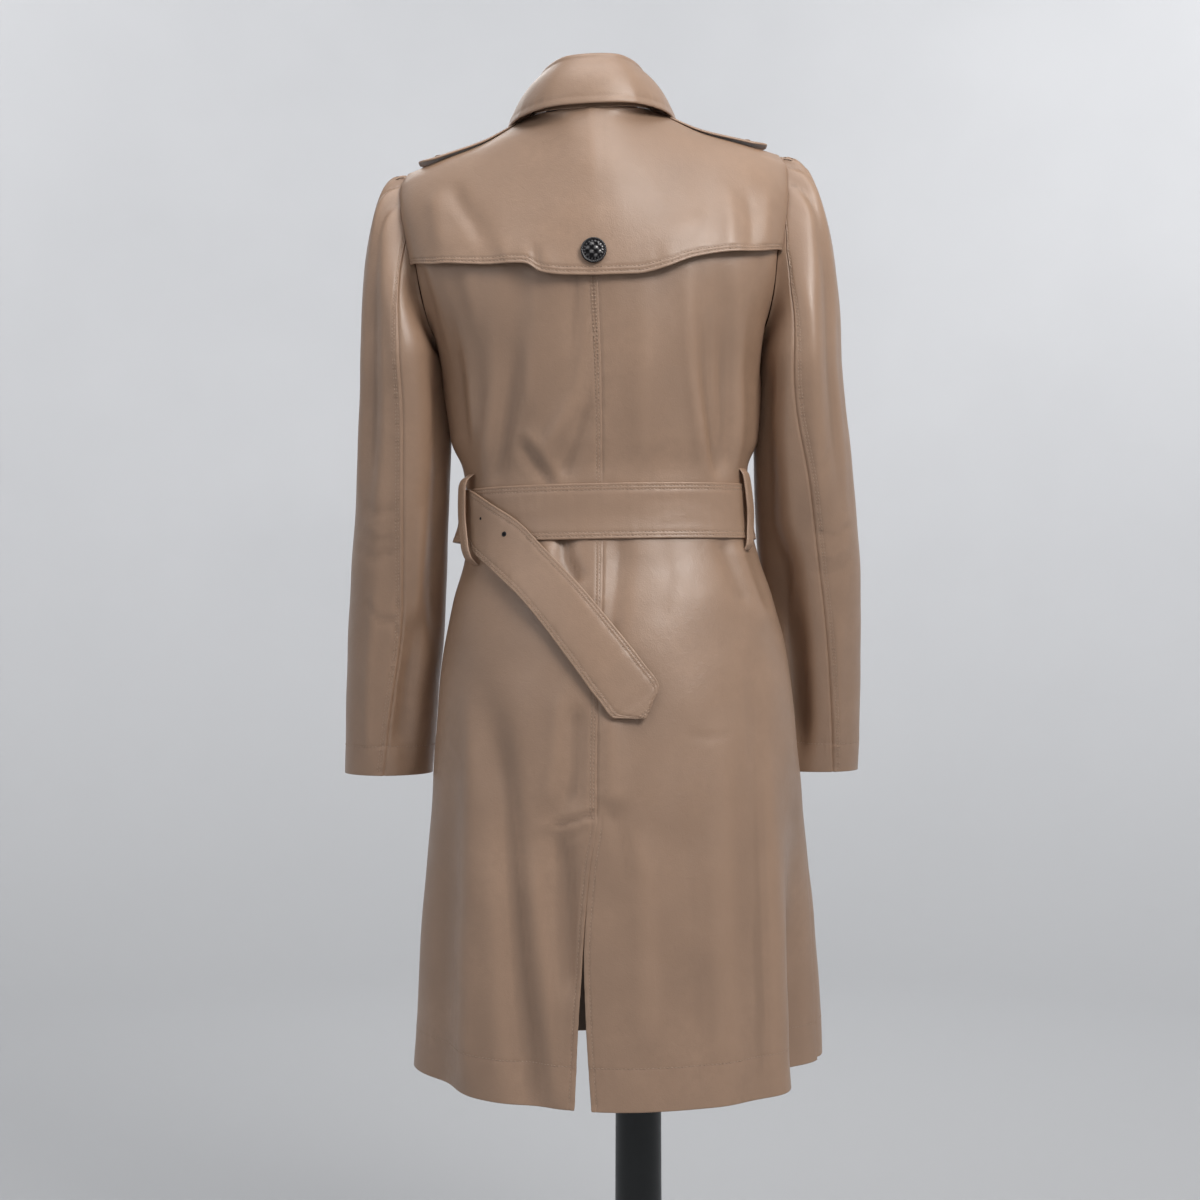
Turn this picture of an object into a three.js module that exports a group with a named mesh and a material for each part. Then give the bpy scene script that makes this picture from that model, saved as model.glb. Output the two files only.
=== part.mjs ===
// A leather trench coat on a limbless dress form with a post and a round base.
// Millimetres, +Z up. The post stands at the origin, the back faces +Y, the fronts face -Y,
// and +X is the wearer's left. A section is measured from the coat's own middle, which leans.
// An angle runs round the coat: 0 at the centre back, 90 at the left side, 180 at the front.

import * as THREE from "three";
import { mergeVertices } from "three/addons/utils/BufferGeometryUtils.js";

// Cloth, seams and layers
const WALL = 2;
const SEAM_GAP = 0.3;
const SHOULDER_SEAM = 0.8;
const LAYER_GAP = 0.8;
const LAYER = WALL + LAYER_GAP;

// Heights that the pieces share
const HEM_Z = 417;
const UNDERARM_Z = 1165;
const NECK_Z = 1401;
const BELT_LOW_Z = 964;
const BELT_HIGH_Z = 1018;

// Widths from the middle of the coat
const NECK_HALF = 64;
const SHOULDER_HALF = 190;
const FRONT_LAP = 88;
const BUTTON_COLUMN = 62;
const BREAK_Z = 1180;

// Leather, metal and form colours
const LEATHER = { color: 0xa98d78, roughness: 0.5, metalness: 0 };
const TRIM = { color: 0xb39a86, roughness: 0.5, metalness: 0 };
const BUTTON_METAL = { color: 0x2e2c2d, roughness: 0.35, metalness: 0.6 };
const FORM_CLOTH = { color: 0x1f2023, roughness: 0.8, metalness: 0 };
const POST_METAL = { color: 0x15191a, roughness: 0.4, metalness: 0.3 };

// Sections of the coat's outside from the hem up to the underarm
const BODY = [
  { z: 417, half: 208, back: 168, front: 162, square: 2.0 },
  { z: 486, half: 204.5, back: 163, front: 157, square: 2.0 },
  { z: 616, half: 197, back: 153, front: 148, square: 2.0 },
  { z: 722, half: 189.5, back: 145, front: 141, square: 2.0 },
  { z: 796, half: 185, back: 138, front: 136, square: 2.0 },
  { z: 850, half: 178, back: 130, front: 130, square: 2.0 },
  { z: 903, half: 166, back: 118, front: 121, square: 2.05 },
  { z: 945, half: 153, back: 103, front: 111, square: 2.15 },
  { z: 991, half: 146, back: 93, front: 106, square: 2.2 },
  { z: 1030, half: 147, back: 93, front: 109, square: 2.2 },
  { z: 1065, half: 153, back: 99, front: 119, square: 2.2 },
  { z: 1110, half: 159, back: 106, front: 132, square: 2.2 },
  { z: 1165, half: 163.5, back: 113, front: 140, square: 2.2 },
];

// Where the coat's middle stands over the post, and how much its level lines lean
const STANCE = [
  { z: 417, middle: 20, lean: 0 },
  { z: 600, middle: 20.5, lean: 0.002 },
  { z: 735, middle: 22.5, lean: 0.005 },
  { z: 903, middle: 26.5, lean: 0.012 },
  { z: 1023, middle: 32.7, lean: 0.02 },
  { z: 1165, middle: 39.5, lean: 0.03 },
  { z: 1240, middle: 43, lean: 0.038 },
  { z: 1345, middle: 46.5, lean: 0.051 },
  { z: 1400, middle: 48.5, lean: 0.05 },
  { z: 1460, middle: 48.5, lean: 0.045 },
];

// The yoke above the underarm: rise runs from 0 at the underarm to 1 at the shoulder seam
const YOKE = [
  { rise: 0, edge: 163.5, edgeBack: 0, edgeFront: 0, back: 113, front: 140 },
  { rise: 0.12, edge: 173, edgeBack: 30, edgeFront: 28, back: 117, front: 140 },
  { rise: 0.28, edge: 179.5, edgeBack: 46, edgeFront: 44, back: 119, front: 136 },
  { rise: 0.46, edge: 184, edgeBack: 50, edgeFront: 48, back: 119, front: 128 },
  { rise: 0.62, edge: 190, edgeBack: 46, edgeFront: 42, back: 117, front: 119 },
  { rise: 0.8, edge: 196, edgeBack: 36, edgeFront: 32, back: 114, front: 108 },
  { rise: 0.92, edge: 197, edgeBack: 22, edgeFront: 20, back: 111, front: 98 },
  { rise: 1, edge: 190, edgeBack: 4, edgeFront: -4, back: 108, front: 90 },
];

// The neck seam and the shoulder seam, from the centre back out to the shoulder point
const SHOULDER = [
  { x: 0, z: 1392, y: 80 },
  { x: 30, z: 1393, y: 72 },
  { x: 52, z: 1397, y: 45 },
  { x: 64, z: 1401, y: 12 },
  { x: 86, z: 1390, y: 9 },
  { x: 112, z: 1378, y: 7 },
  { x: 152, z: 1366, y: 5 },
  { x: 190, z: 1353, y: 4 },
];

// The largest folds of the skirt and back: a trough has a negative depth
const FOLDS = [
  { angle: -49, width: 9, depth: 9, high: 820, low: 560 },
  { angle: -72, width: 13, depth: -38, high: 760, low: 430 },
  { angle: -102, width: 13, depth: 11, high: 800, low: 480 },
  { angle: 19, width: 7, depth: -6, high: 900, low: 560 },
  { angle: 38, width: 9, depth: 5, high: 900, low: 560 },
  { angle: 60, width: 9, depth: -8, high: 860, low: 560 },
  { angle: 84, width: 11, depth: 5, high: 820, low: 520 },
  { angle: 118, width: 12, depth: -9, high: 860, low: 520 },
  { angle: 146, width: 12, depth: 5, high: 860, low: 560 },
  { angle: -26, width: 9, depth: 4, high: 880, low: 560 },
  { angle: -136, width: 13, depth: -8, high: 860, low: 540 },
  { angle: -158, width: 10, depth: 4, high: 860, low: 560 },
];

// The centre-back edges of the two backs, from the coat's middle
const CENTRE_BACK = [
  { z: 417, left: 45.6, right: 27.6 },
  { z: 465, left: 43.5, right: 30.5 },
  { z: 555, left: 38, right: 29.6 },
  { z: 606, left: 33.8, right: 28 },
  { z: 645, left: 29.4, right: 25.5 },
  { z: 692, left: 21.6, right: 21.2 },
  { z: 757, left: 20, right: 20 },
  { z: 942, left: 9, right: 9 },
  { z: 1120, left: 1, right: 1 },
  { z: 1165, left: 0, right: 0 },
];

// A monotone cubic through one column of a table, at a value of its first column
function along(table, column, at) {
  const key = Object.keys(table[0])[0];
  const last = table.length - 1;
  if (at <= table[0][key]) return table[0][column];
  if (at >= table[last][key]) return table[last][column];
  let row = 0;
  while (table[row + 1][key] < at) row += 1;
  const slope = (i) => (table[i + 1][column] - table[i][column]) / (table[i + 1][key] - table[i][key]);
  const tangent = (i) => {
    if (i === 0) return slope(0);
    if (i === last) return slope(last - 1);
    const before = slope(i - 1);
    const after = slope(i);
    return before * after <= 0 ? 0 : (2 * before * after) / (before + after);
  };
  const span = table[row + 1][key] - table[row][key];
  const t = (at - table[row][key]) / span;
  const here = table[row][column] * (1 + 2 * t) * (1 - t) ** 2;
  const next = table[row + 1][column] * t * t * (3 - 2 * t);
  const turn = tangent(row) * t * (1 - t) ** 2 - tangent(row + 1) * t * t * (1 - t);
  return here + next + turn * span;
}

const degrees = (angle) => (angle * Math.PI) / 180;
const smooth = (from, to, at) => THREE.MathUtils.smoothstep(at, from, to);
const power = (value, exponent) => Math.sign(value) * Math.abs(value) ** exponent;

// From the coat's own middle to the frame of the part
function place(x, y, z) {
  return new THREE.Vector3(x + along(STANCE, "middle", z), y, z - along(STANCE, "lean", z) * x);
}

// Each fold is a bell round the coat that grows from its high end to its low end
function foldDepth(angle, z) {
  let depth = 0;
  for (const fold of FOLDS) {
    const turn = ((angle - fold.angle + 540) % 360) - 180;
    depth += fold.depth * Math.exp(-((turn / fold.width) ** 2)) * (1 - smooth(fold.low, fold.high, z));
  }
  return depth;
}

// The hem rises a little at the sides
const hemRise = (angle) => 7 * Math.sin(degrees(angle)) ** 2 + (Math.cos(degrees(angle)) < 0 ? 3 : 0);

// A point of the coat below the underarm: a rounded section with its folds
function lowerPoint(angle, level) {
  const nearHem = 1 - smooth(HEM_Z, 600, level);
  const z = level + hemRise(angle) * nearHem;
  const exponent = 2 / along(BODY, "square", z);
  const sine = Math.sin(degrees(angle));
  const cosine = Math.cos(degrees(angle));
  const fold = foldDepth(angle, z);
  const half = along(BODY, "half", z) + fold;
  const deep = along(BODY, cosine > 0 ? "back" : "front", z) + fold;
  return place(half * power(sine, exponent), deep * power(cosine, exponent), z);
}

const UNDERARM_EXPONENT = 2 / BODY[BODY.length - 1].square;

// A point of the yoke: each row is a rounded section that closes over the shoulder as it rises
function yokePoint(angle, rise) {
  const sine = power(Math.sin(degrees(angle)), UNDERARM_EXPONENT);
  const cosine = power(Math.cos(degrees(angle)), UNDERARM_EXPONENT);
  const isBack = cosine > 0;
  const topX = Math.abs(SHOULDER_HALF * sine);
  const x = along(YOKE, "edge", rise) * sine;
  const edge = along(YOKE, isBack ? "edgeBack" : "edgeFront", rise);
  const deep = along(YOKE, isBack ? "back" : "front", rise);
  const section = edge + (deep - edge) * Math.abs(cosine);
  const overNeck = 1 - smooth(NECK_HALF * 0.5, NECK_HALF, topX);
  const frontTopY = 12 - 70 * Math.sqrt(Math.max(0, 1 - (topX / NECK_HALF) ** 2));
  const topY = isBack || topX > NECK_HALF ? along(SHOULDER, "y", topX) : frontTopY;
  const topZ = isBack || topX > NECK_HALF ? along(SHOULDER, "z", topX) : NECK_Z;
  const round = 1 - Math.sqrt(Math.max(0, 1 - rise * rise));
  const close = THREE.MathUtils.lerp(round, rise ** 2.6, overNeck);
  const seamY = (isBack ? 1 : -1) * (SHOULDER_SEAM + 1.4 * (topX / SHOULDER_HALF) ** 6);
  const y = (isBack ? section : -section) * (1 - close) + (topY + seamY) * close;
  return place(x, y, UNDERARM_Z + (topZ - UNDERARM_Z) * rise);
}

// One height runs over both: below the underarm it is a level in millimetres, above it a rise
function bodyPoint(angle, height) {
  return height <= UNDERARM_Z ? lowerPoint(angle, height) : yokePoint(angle, height - UNDERARM_Z);
}

// The outward direction, from the slopes round and up the surface
function bodyNormal(angle, height) {
  const isYoke = height > UNDERARM_Z;
  const down = isYoke ? Math.max(UNDERARM_Z + 1e-6, height - 0.01) : height - 2;
  const up = isYoke ? Math.min(UNDERARM_Z + 0.999, height + 0.01) : Math.min(UNDERARM_Z, height + 2);
  const isBack = Math.cos(degrees(angle)) >= 0;
  let from = angle - 1;
  let to = angle + 1;
  if (isYoke && Math.abs(Math.abs(angle) - 90) < 1) {
    const inside = Math.sign(angle) * (isBack ? 90 - 0.01 : 90 + 0.01);
    from = isBack === angle > 0 ? inside - 2 : inside;
    to = isBack === angle > 0 ? inside : inside + 2;
  }
  const round = bodyPoint(to, height).sub(bodyPoint(from, height));
  const rise = bodyPoint(angle, up).sub(bodyPoint(angle, down));
  return rise.cross(round).normalize();
}

function bodyOffset(angle, height, offset) {
  return bodyPoint(angle, height).addScaledVector(bodyNormal(angle, height), offset);
}

// The angle and height of the point with a given width and level on the back or the fronts
function find(x, z, isBack) {
  let sine = 0;
  let height = z;
  if (z <= UNDERARM_Z) {
    const exponent = 2 / along(BODY, "square", z);
    sine = power(x / along(BODY, "half", z), 1 / exponent);
  } else {
    let rise = (z - UNDERARM_Z) / (NECK_Z - UNDERARM_Z);
    for (let turn = 0; turn < 8; turn += 1) {
      const share = THREE.MathUtils.clamp(x / along(YOKE, "edge", rise), -1, 1);
      const topX = Math.abs(share) * SHOULDER_HALF;
      const topZ = isBack || topX > NECK_HALF ? along(SHOULDER, "z", topX) : NECK_Z;
      rise = Math.min(1, (z - UNDERARM_Z) / (topZ - UNDERARM_Z));
      sine = power(share, 1 / UNDERARM_EXPONENT);
    }
    height = UNDERARM_Z + rise;
  }
  const angle = (Math.asin(THREE.MathUtils.clamp(sine, -1, 1)) * 180) / Math.PI;
  return { angle: isBack ? angle : 180 - angle, height };
}

function onBack(x, z, offset) {
  const spot = find(x, z, true);
  return bodyOffset(spot.angle, spot.height, offset);
}

function onFront(x, z, offset) {
  const spot = find(x, z, false);
  const angle = spot.angle > 180 ? spot.angle - 360 : spot.angle;
  return bodyOffset(angle, spot.height, offset);
}

// A closed wall between an outer and an inner grid of points, each a list of rows
function wall(outer, inner) {
  const rows = outer.length;
  const columns = outer[0].length;
  const positions = [];
  for (const grid of [outer, inner]) {
    for (const row of grid) {
      for (const point of row) positions.push(point.x, point.y, point.z);
    }
  }
  const at = (side, i, j) => (side * rows + i) * columns + j;
  const index = [];
  const quad = (a, b, c, d) => index.push(a, b, c, a, c, d);
  for (let i = 0; i < rows - 1; i += 1) {
    for (let j = 0; j < columns - 1; j += 1) {
      quad(at(0, i, j), at(0, i, j + 1), at(0, i + 1, j + 1), at(0, i + 1, j));
      quad(at(1, i, j), at(1, i + 1, j), at(1, i + 1, j + 1), at(1, i, j + 1));
    }
  }
  for (let j = 0; j < columns - 1; j += 1) {
    quad(at(0, 0, j), at(1, 0, j), at(1, 0, j + 1), at(0, 0, j + 1));
    quad(at(0, rows - 1, j), at(0, rows - 1, j + 1), at(1, rows - 1, j + 1), at(1, rows - 1, j));
  }
  const last = columns - 1;
  for (let i = 0; i < rows - 1; i += 1) {
    quad(at(0, i, 0), at(0, i + 1, 0), at(1, i + 1, 0), at(1, i, 0));
    quad(at(0, i, last), at(1, i, last), at(1, i + 1, last), at(0, i + 1, last));
  }
  return solid(positions, index);
}

// A geometry with its faces turned outwards, whichever way they were listed
function solid(positions, index) {
  const corner = (k) => new THREE.Vector3().fromArray(positions, index[k] * 3);
  let volume = 0;
  for (let k = 0; k < index.length; k += 3) {
    volume += corner(k).dot(corner(k + 1).cross(corner(k + 2)));
  }
  if (volume < 0) index.reverse();
  const geometry = new THREE.BufferGeometry();
  geometry.setAttribute("position", new THREE.Float32BufferAttribute(positions, 3));
  geometry.setIndex(index);
  return geometry;
}

// A wall laid out by a function of two shares that gives a point at a given offset
function sheet(point, across, upward, thickness = WALL) {
  const grid = (offset) => upward.map((v) => across.map((u) => point(u, v, offset)));
  return wall(grid(0), grid(-thickness));
}

const steps = (count) => Array.from({ length: count + 1 }, (_, i) => i / count);

const coat = new THREE.Group();
function add(name, geometry, finish) {
  const mesh = new THREE.Mesh(geometry, new THREE.MeshStandardMaterial(finish));
  mesh.name = name;
  coat.add(mesh);
}

// Rows of the panels: levels from the hem to the underarm, then rises to the shoulder
const LEVELS = [HEM_Z, 460, 510, 565, 625, 692, 745, 795, 840, 880, 915, 945, 966, 991, 1018, 1050, 1090,
  1128, UNDERARM_Z];
const RISES = [0.1, 0.23, 0.4, 0.57, 0.73, 0.86, 0.95, 1];
const PANEL_ROWS = [...LEVELS, ...RISES.map((rise) => UNDERARM_Z + rise)];

// The angle whose point stands a given width from the middle
function angleOf(x, z) {
  const exponent = 2 / along(BODY, "square", z);
  const sine = power(x / along(BODY, "half", z), 1 / exponent);
  return (Math.asin(sine) * 180) / Math.PI;
}

const NECK_ANGLE = (Math.asin((NECK_HALF / SHOULDER_HALF) ** (1 / UNDERARM_EXPONENT)) * 180) / Math.PI;
const BACK_ANGLES = [0, 8, NECK_ANGLE, 26, 35, 44, 53, 61, 69, 77, 84, 90];

// Each panel stops this many degrees short of the line where it meets the next one
const MEAN_RADIUS = 150;
const SEAM_TURN = (SEAM_GAP * 0.75 * 180) / Math.PI / MEAN_RADIUS;

// Back: from the centre-back edge to the side seam, both cut along the same angles
function backPanel(side) {
  const point = (angle, height, offset) => {
    const level = Math.min(height, UNDERARM_Z);
    const edgeX = along(CENTRE_BACK, side > 0 ? "left" : "right", level);
    const shift = angleOf(edgeX, level) * (1 - angle / 90);
    const inset = angle === 0 ? SEAM_TURN : angle === 90 ? -SEAM_TURN : 0;
    return bodyOffset(side * (angle + inset) + shift, height, offset);
  };
  return sheet(point, BACK_ANGLES, PANEL_ROWS);
}

// The roll line, from the neck point of one side down to the break point past the middle.
// A width is positive on the panel's own side.
const rollZ = (x) => NECK_Z - ((NECK_HALF - x) / (NECK_HALF + FRONT_LAP)) * (NECK_Z - BREAK_Z);

// How far the under front lies below the upper one, where that laps over it
const UNDER_DIP = 2 * LAYER + 2;
function underDip(x, z) {
  const past = 1 - smooth(FRONT_LAP + 2, FRONT_LAP + 60, x);
  return UNDER_DIP * past * (1 - smooth(16, 90, z - rollZ(-x)));
}

// Shares of a front's width: from the side seam to the neck point, then over the lap
const LAP_SHARE = 0.6;
const SIDE_SHARES = [0, 0.07, 0.15, 0.24, 0.33, 0.42, 0.51, LAP_SHARE];
const OVER_LAP = steps(5).slice(1).map((share) => LAP_SHARE + (1 - LAP_SHARE) * share);
const FRONT_SHARES = [...SIDE_SHARES, ...OVER_LAP];

// Front: from the side seam round to the front edge, which laps past the middle
function frontPanel(side) {
  const neckAngle = 180 - NECK_ANGLE;
  const point = (share, height, offset) => {
    const level = Math.min(height, UNDERARM_Z);
    const isYoke = height > UNDERARM_Z;
    const half = isYoke ? SHOULDER_HALF : along(BODY, "half", level);
    const exponent = 2 / along(BODY, "square", level);
    const edgeAngle = 180 + (Math.asin((FRONT_LAP / half) ** (1 / exponent)) * 180) / Math.PI;
    const sideAngle = 90 + SEAM_TURN;
    let angle = sideAngle + (share / LAP_SHARE) * (neckAngle - sideAngle);
    if (share > LAP_SHARE) {
      angle = neckAngle + ((share - LAP_SHARE) / (1 - LAP_SHARE)) * (edgeAngle - neckAngle);
    }
    let rise = height - level;
    if (isYoke) {
      const x = -power(Math.sin(degrees(angle - 180)), UNDERARM_EXPONENT) * SHOULDER_HALF;
      if (x < NECK_HALF - 0.01) rise *= (rollZ(x) - UNDERARM_Z) / (NECK_Z - UNDERARM_Z);
      height = UNDERARM_Z + rise;
    }
    const width = power(Math.sin(degrees(angle)), exponent) * half;
    const z = isYoke ? UNDERARM_Z + rise * (NECK_Z - UNDERARM_Z) : level;
    const dip = side > 0 ? underDip(width, z) : 0;
    const turn = angle > 180 ? angle - 360 : angle;
    return bodyOffset(side * turn, height, offset - dip);
  };
  return sheet(point, FRONT_SHARES, PANEL_ROWS);
}

for (const side of [1, -1]) {
  const name = side > 0 ? "left" : "right";
  add(`back_${name}`, backPanel(side), LEATHER);
  add(`front_${name}`, frontPanel(side), LEATHER);
}

// Storm flap: it hangs from the neck and shoulder seams over both backs, between the armholes,
// and its lower edge drops to a tongue in the middle
const FLAP_EDGE = [
  { x: 0, z: 1219, stand: 3 },
  { x: 46, z: 1221, stand: 4 },
  { x: 58, z: 1227, stand: 7 },
  { x: 72, z: 1234, stand: 8 },
  { x: 105, z: 1233.5, stand: 5 },
  { x: 140, z: 1234, stand: 7 },
  { x: 160, z: 1238, stand: 5 },
  { x: 183, z: 1239, stand: 2 },
];
const FLAP_ANGLES = [0, 8, 14, NECK_ANGLE, 22, 29, 37, 46, 55, 64, 73, 81, 88];
const FLAP_SHARES = [0, 0.1, 0.3, 0.5, 0.68, 0.83, 0.94, 1];

function stormFlap() {
  const point = (angle, share, offset) => {
    const width = Math.abs(power(Math.sin(degrees(angle)), UNDERARM_EXPONENT));
    const x = width * along(YOKE, "edge", 0.35);
    const topZ = along(SHOULDER, "z", width * SHOULDER_HALF);
    const low = (along(FLAP_EDGE, "z", x) - UNDERARM_Z) / (topZ - UNDERARM_Z);
    const rise = low + (1 - low) * share;
    const stand = along(FLAP_EDGE, "stand", x) * (1 - share) ** 3;
    const overNeck = 0.6 * (1 - smooth(NECK_HALF, NECK_HALF * 1.6, width * SHOULDER_HALF));
    const atArmhole = 0.5 * smooth(75, 88, Math.abs(angle));
    return bodyOffset(angle, UNDERARM_Z + rise, LAYER + overNeck + atArmhole + stand + offset);
  };
  const angles = [...FLAP_ANGLES.slice(1).reverse().map((angle) => -angle), ...FLAP_ANGLES];
  return sheet(point, angles, FLAP_SHARES);
}
add("storm_flap", stormFlap(), LEATHER);

// Lapel: the front edge turned back along the roll line, from the break point to a peak
const LAPEL = [
  { share: 0.03, inX: -84, outX: -80, outZ: 1183 },
  { share: 0.3, inX: -49, outX: 20, outZ: 1213 },
  { share: 0.6, inX: -10, outX: 84, outZ: 1249 },
  { share: 0.85, inX: 22, outX: 128, outZ: 1289 },
  { share: 1, inX: 37, outX: 143, outZ: 1314 },
];

function lapel(side) {
  const point = (across, up, offset) => {
    const inX = along(LAPEL, "inX", up);
    const outX = along(LAPEL, "outX", up);
    const x = inX + (outX - inX) * across;
    const inZ = rollZ(inX) + 1;
    const z = inZ + (along(LAPEL, "outZ", up) - inZ) * across;
    const dip = side > 0 ? underDip(x, z) : 0;
    const free = 1 - dip / UNDER_DIP;
    const bow = 2.5 * Math.sin(Math.PI * Math.min(1, across * 1.2)) * up * free;
    const clear = (LAYER_GAP + 13 * free) * (1 - free);
    return onFront(side * x, z, LAYER + bow + clear - dip + offset);
  };
  return sheet(point, steps(7), [0.03, 0.12, 0.22, 0.34, 0.46, 0.58, 0.7, 0.8, 0.9, 1]);
}
add("lapel_left", lapel(1), LEATHER);
add("lapel_right", lapel(-1), LEATHER);

// Collar: a stand on the neck seam, a fold, and a fall that covers the seam.
// turn runs from the centre back to the front end.
const COLLAR = [
  { turn: 0, seamX: 0, seamY: 84, seamZ: 1394.2, foldX: 0, foldY: 68, foldZ: 1452, edgeX: 0, edgeY: 97,
    edgeZ: 1400, spread: 90 },
  { turn: 0.2, seamX: 30, seamY: 76, seamZ: 1396, foldX: 24, foldY: 60, foldZ: 1452, edgeX: 40,
    edgeY: 88, edgeZ: 1401, spread: 66 },
  { turn: 0.38, seamX: 54, seamY: 48, seamZ: 1401, foldX: 43, foldY: 38, foldZ: 1449, edgeX: 72,
    edgeY: 58, edgeZ: 1401, spread: 36 },
  { turn: 0.52, seamX: 62, seamY: 12, seamZ: 1405, foldX: 51, foldY: 8, foldZ: 1445, edgeX: 86,
    edgeY: 14, edgeZ: 1401, spread: 2 },
  { turn: 0.68, seamX: 62, seamY: -26, seamZ: 1400, foldX: 54, foldY: -26, foldZ: 1430, edgeX: 96,
    edgeY: -36, edgeZ: 1381, spread: -22 },
  { turn: 0.84, seamX: 55, seamY: -62, seamZ: 1386, foldX: 49, foldY: -66, foldZ: 1406, edgeX: 104,
    edgeY: -76, edgeZ: 1362, spread: -40 },
  { turn: 1, seamX: 45, seamY: -88, seamZ: 1368, foldX: 42, foldY: -96, foldZ: 1380, edgeX: 112,
    edgeY: -96, edgeZ: 1338, spread: -52 },
];
const COLLAR_ROLL = 4.5;

function collarSection(turn, side, offset) {
  const at = (column) => along(COLLAR, column, turn);
  const spread = degrees(at("spread"));
  const out = new THREE.Vector3(Math.cos(spread), Math.sin(spread), 0);
  const up = new THREE.Vector3(0, 0, 1);
  const seam = new THREE.Vector3(at("seamX"), at("seamY"), at("seamZ"));
  const fold = new THREE.Vector3(at("foldX"), at("foldY"), at("foldZ"));
  const edge = new THREE.Vector3(at("edgeX"), at("edgeY"), at("edgeZ"));
  const ring = COLLAR_ROLL + offset;
  const inside = fold.clone().addScaledVector(out, -ring).addScaledVector(up, -COLLAR_ROLL);
  const outside = fold.clone().addScaledVector(out, ring).addScaledVector(up, -COLLAR_ROLL);
  const corner = (lean) => fold.clone().addScaledVector(out, ring * Math.sin(lean))
    .addScaledVector(up, ring * Math.cos(lean) - COLLAR_ROLL);
  const low = seam.clone().addScaledVector(out, -offset);
  const hem = edge.clone().addScaledVector(out, offset * 0.8).addScaledVector(up, offset * 0.6);
  const points = [low];
  points.push(low.clone().lerp(inside, 0.5), inside, corner(-0.8), corner(0), corner(0.8), outside);
  for (const share of [0.33, 0.66]) {
    const bow = 3.5 * Math.sin(Math.PI * share);
    points.push(outside.clone().lerp(hem, share).addScaledVector(out, bow).addScaledVector(up, bow));
  }
  points.push(hem);
  return points.map((point) => place(side * point.x, point.y, point.z));
}

function collar() {
  const turns = steps(11);
  const layout = [...turns.slice(1).reverse().map((turn) => [turn, -1]), ...turns.map((turn) => [turn, 1])];
  const grid = (offset) => layout.map(([turn, side]) => collarSection(turn, side, offset));
  return wall(grid(WALL / 2), grid(-WALL / 2));
}
add("collar", collar(), LEATHER);

// Sleeves hang from the armholes. A turn runs round the arm: 0 outside, 90 at the back,
// 180 inside and 270 at the front. Widths are from a middle between both arms.
const ARMS_MIDDLE = 38;
const SLEEVE = [
  { z: 719, outLeft: 276, inLeft: 182, yLeft: -60, outRight: 281, inRight: 187, yRight: -100, deep: 45 },
  { z: 800, outLeft: 273, inLeft: 175, yLeft: -50, outRight: 281, inRight: 182, yRight: -85, deep: 50 },
  { z: 903, outLeft: 267, inLeft: 165, yLeft: -35, outRight: 278, inRight: 170, yRight: -60, deep: 56 },
  { z: 1008, outLeft: 258, inLeft: 161, yLeft: -16, outRight: 268, inRight: 162, yRight: -30, deep: 62 },
  { z: 1090, outLeft: 253, inLeft: 163, yLeft: -6, outRight: 257, inRight: 164, yRight: -12, deep: 66 },
  { z: 1148, outLeft: 250, inLeft: 168, yLeft: 0, outRight: 249, inRight: 168, yRight: -2, deep: 70 },
];
const CUFF_Z = SLEEVE[0].z;
const CAP_Z = SLEEVE[SLEEVE.length - 1].z;
const BACK_SEAM = [
  { level: 719, turn: 88 },
  { level: 830, turn: 96 },
  { level: 945, turn: 101 },
  { level: 1060, turn: 84 },
  { level: 1149, turn: 70 },
  { level: 1150, turn: 82 },
];
const FRONT_SEAM = 245;
const SLEEVE_FOLDS = [
  { turn: 52, width: 13, depth: -7, high: 1330, low: 1010 },
  { turn: 118, width: 12, depth: -5, high: 900, low: 730 },
  { turn: 215, width: 16, depth: -6, high: 1060, low: 900 },
  { turn: 300, width: 15, depth: -5, high: 1030, low: 860 },
];

function sleeveFold(turn, z) {
  let depth = 0;
  for (const fold of SLEEVE_FOLDS) {
    const away = ((turn - fold.turn + 540) % 360) - 180;
    const middle = (fold.high + fold.low) / 2;
    const reach = (fold.high - fold.low) / 2;
    depth += fold.depth * Math.exp(-((away / fold.width) ** 2) - ((z - middle) / reach) ** 4);
  }
  return depth;
}

function armPoint(side, turn, z) {
  const hand = side > 0 ? "Left" : "Right";
  const out = along(SLEEVE, `out${hand}`, z);
  const inside = along(SLEEVE, `in${hand}`, z);
  const fold = sleeveFold(turn, z);
  const x = (out + inside) / 2 + ((out - inside) / 2 + fold) * Math.cos(degrees(turn));
  const y = along(SLEEVE, `y${hand}`, z) + (along(SLEEVE, "deep", z) + fold) * Math.sin(degrees(turn));
  return new THREE.Vector3(ARMS_MIDDLE + side * x, y, z);
}

// The armhole, from the shoulder point down the back edge to the underarm and up the front.
// Its back edge is read just inside the side, its front edge just past it.
const SIDE_MARGIN = 0.001;
const ARMHOLE_GAP = 0.9;
function armholePoint(side, turn) {
  const rise = THREE.MathUtils.clamp((1 + Math.cos(degrees(turn))) / 2, 0, 1);
  const isBack = turn <= 180;
  return yokePoint(side * (90 + (isBack ? -SIDE_MARGIN : SIDE_MARGIN)), rise);
}

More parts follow.
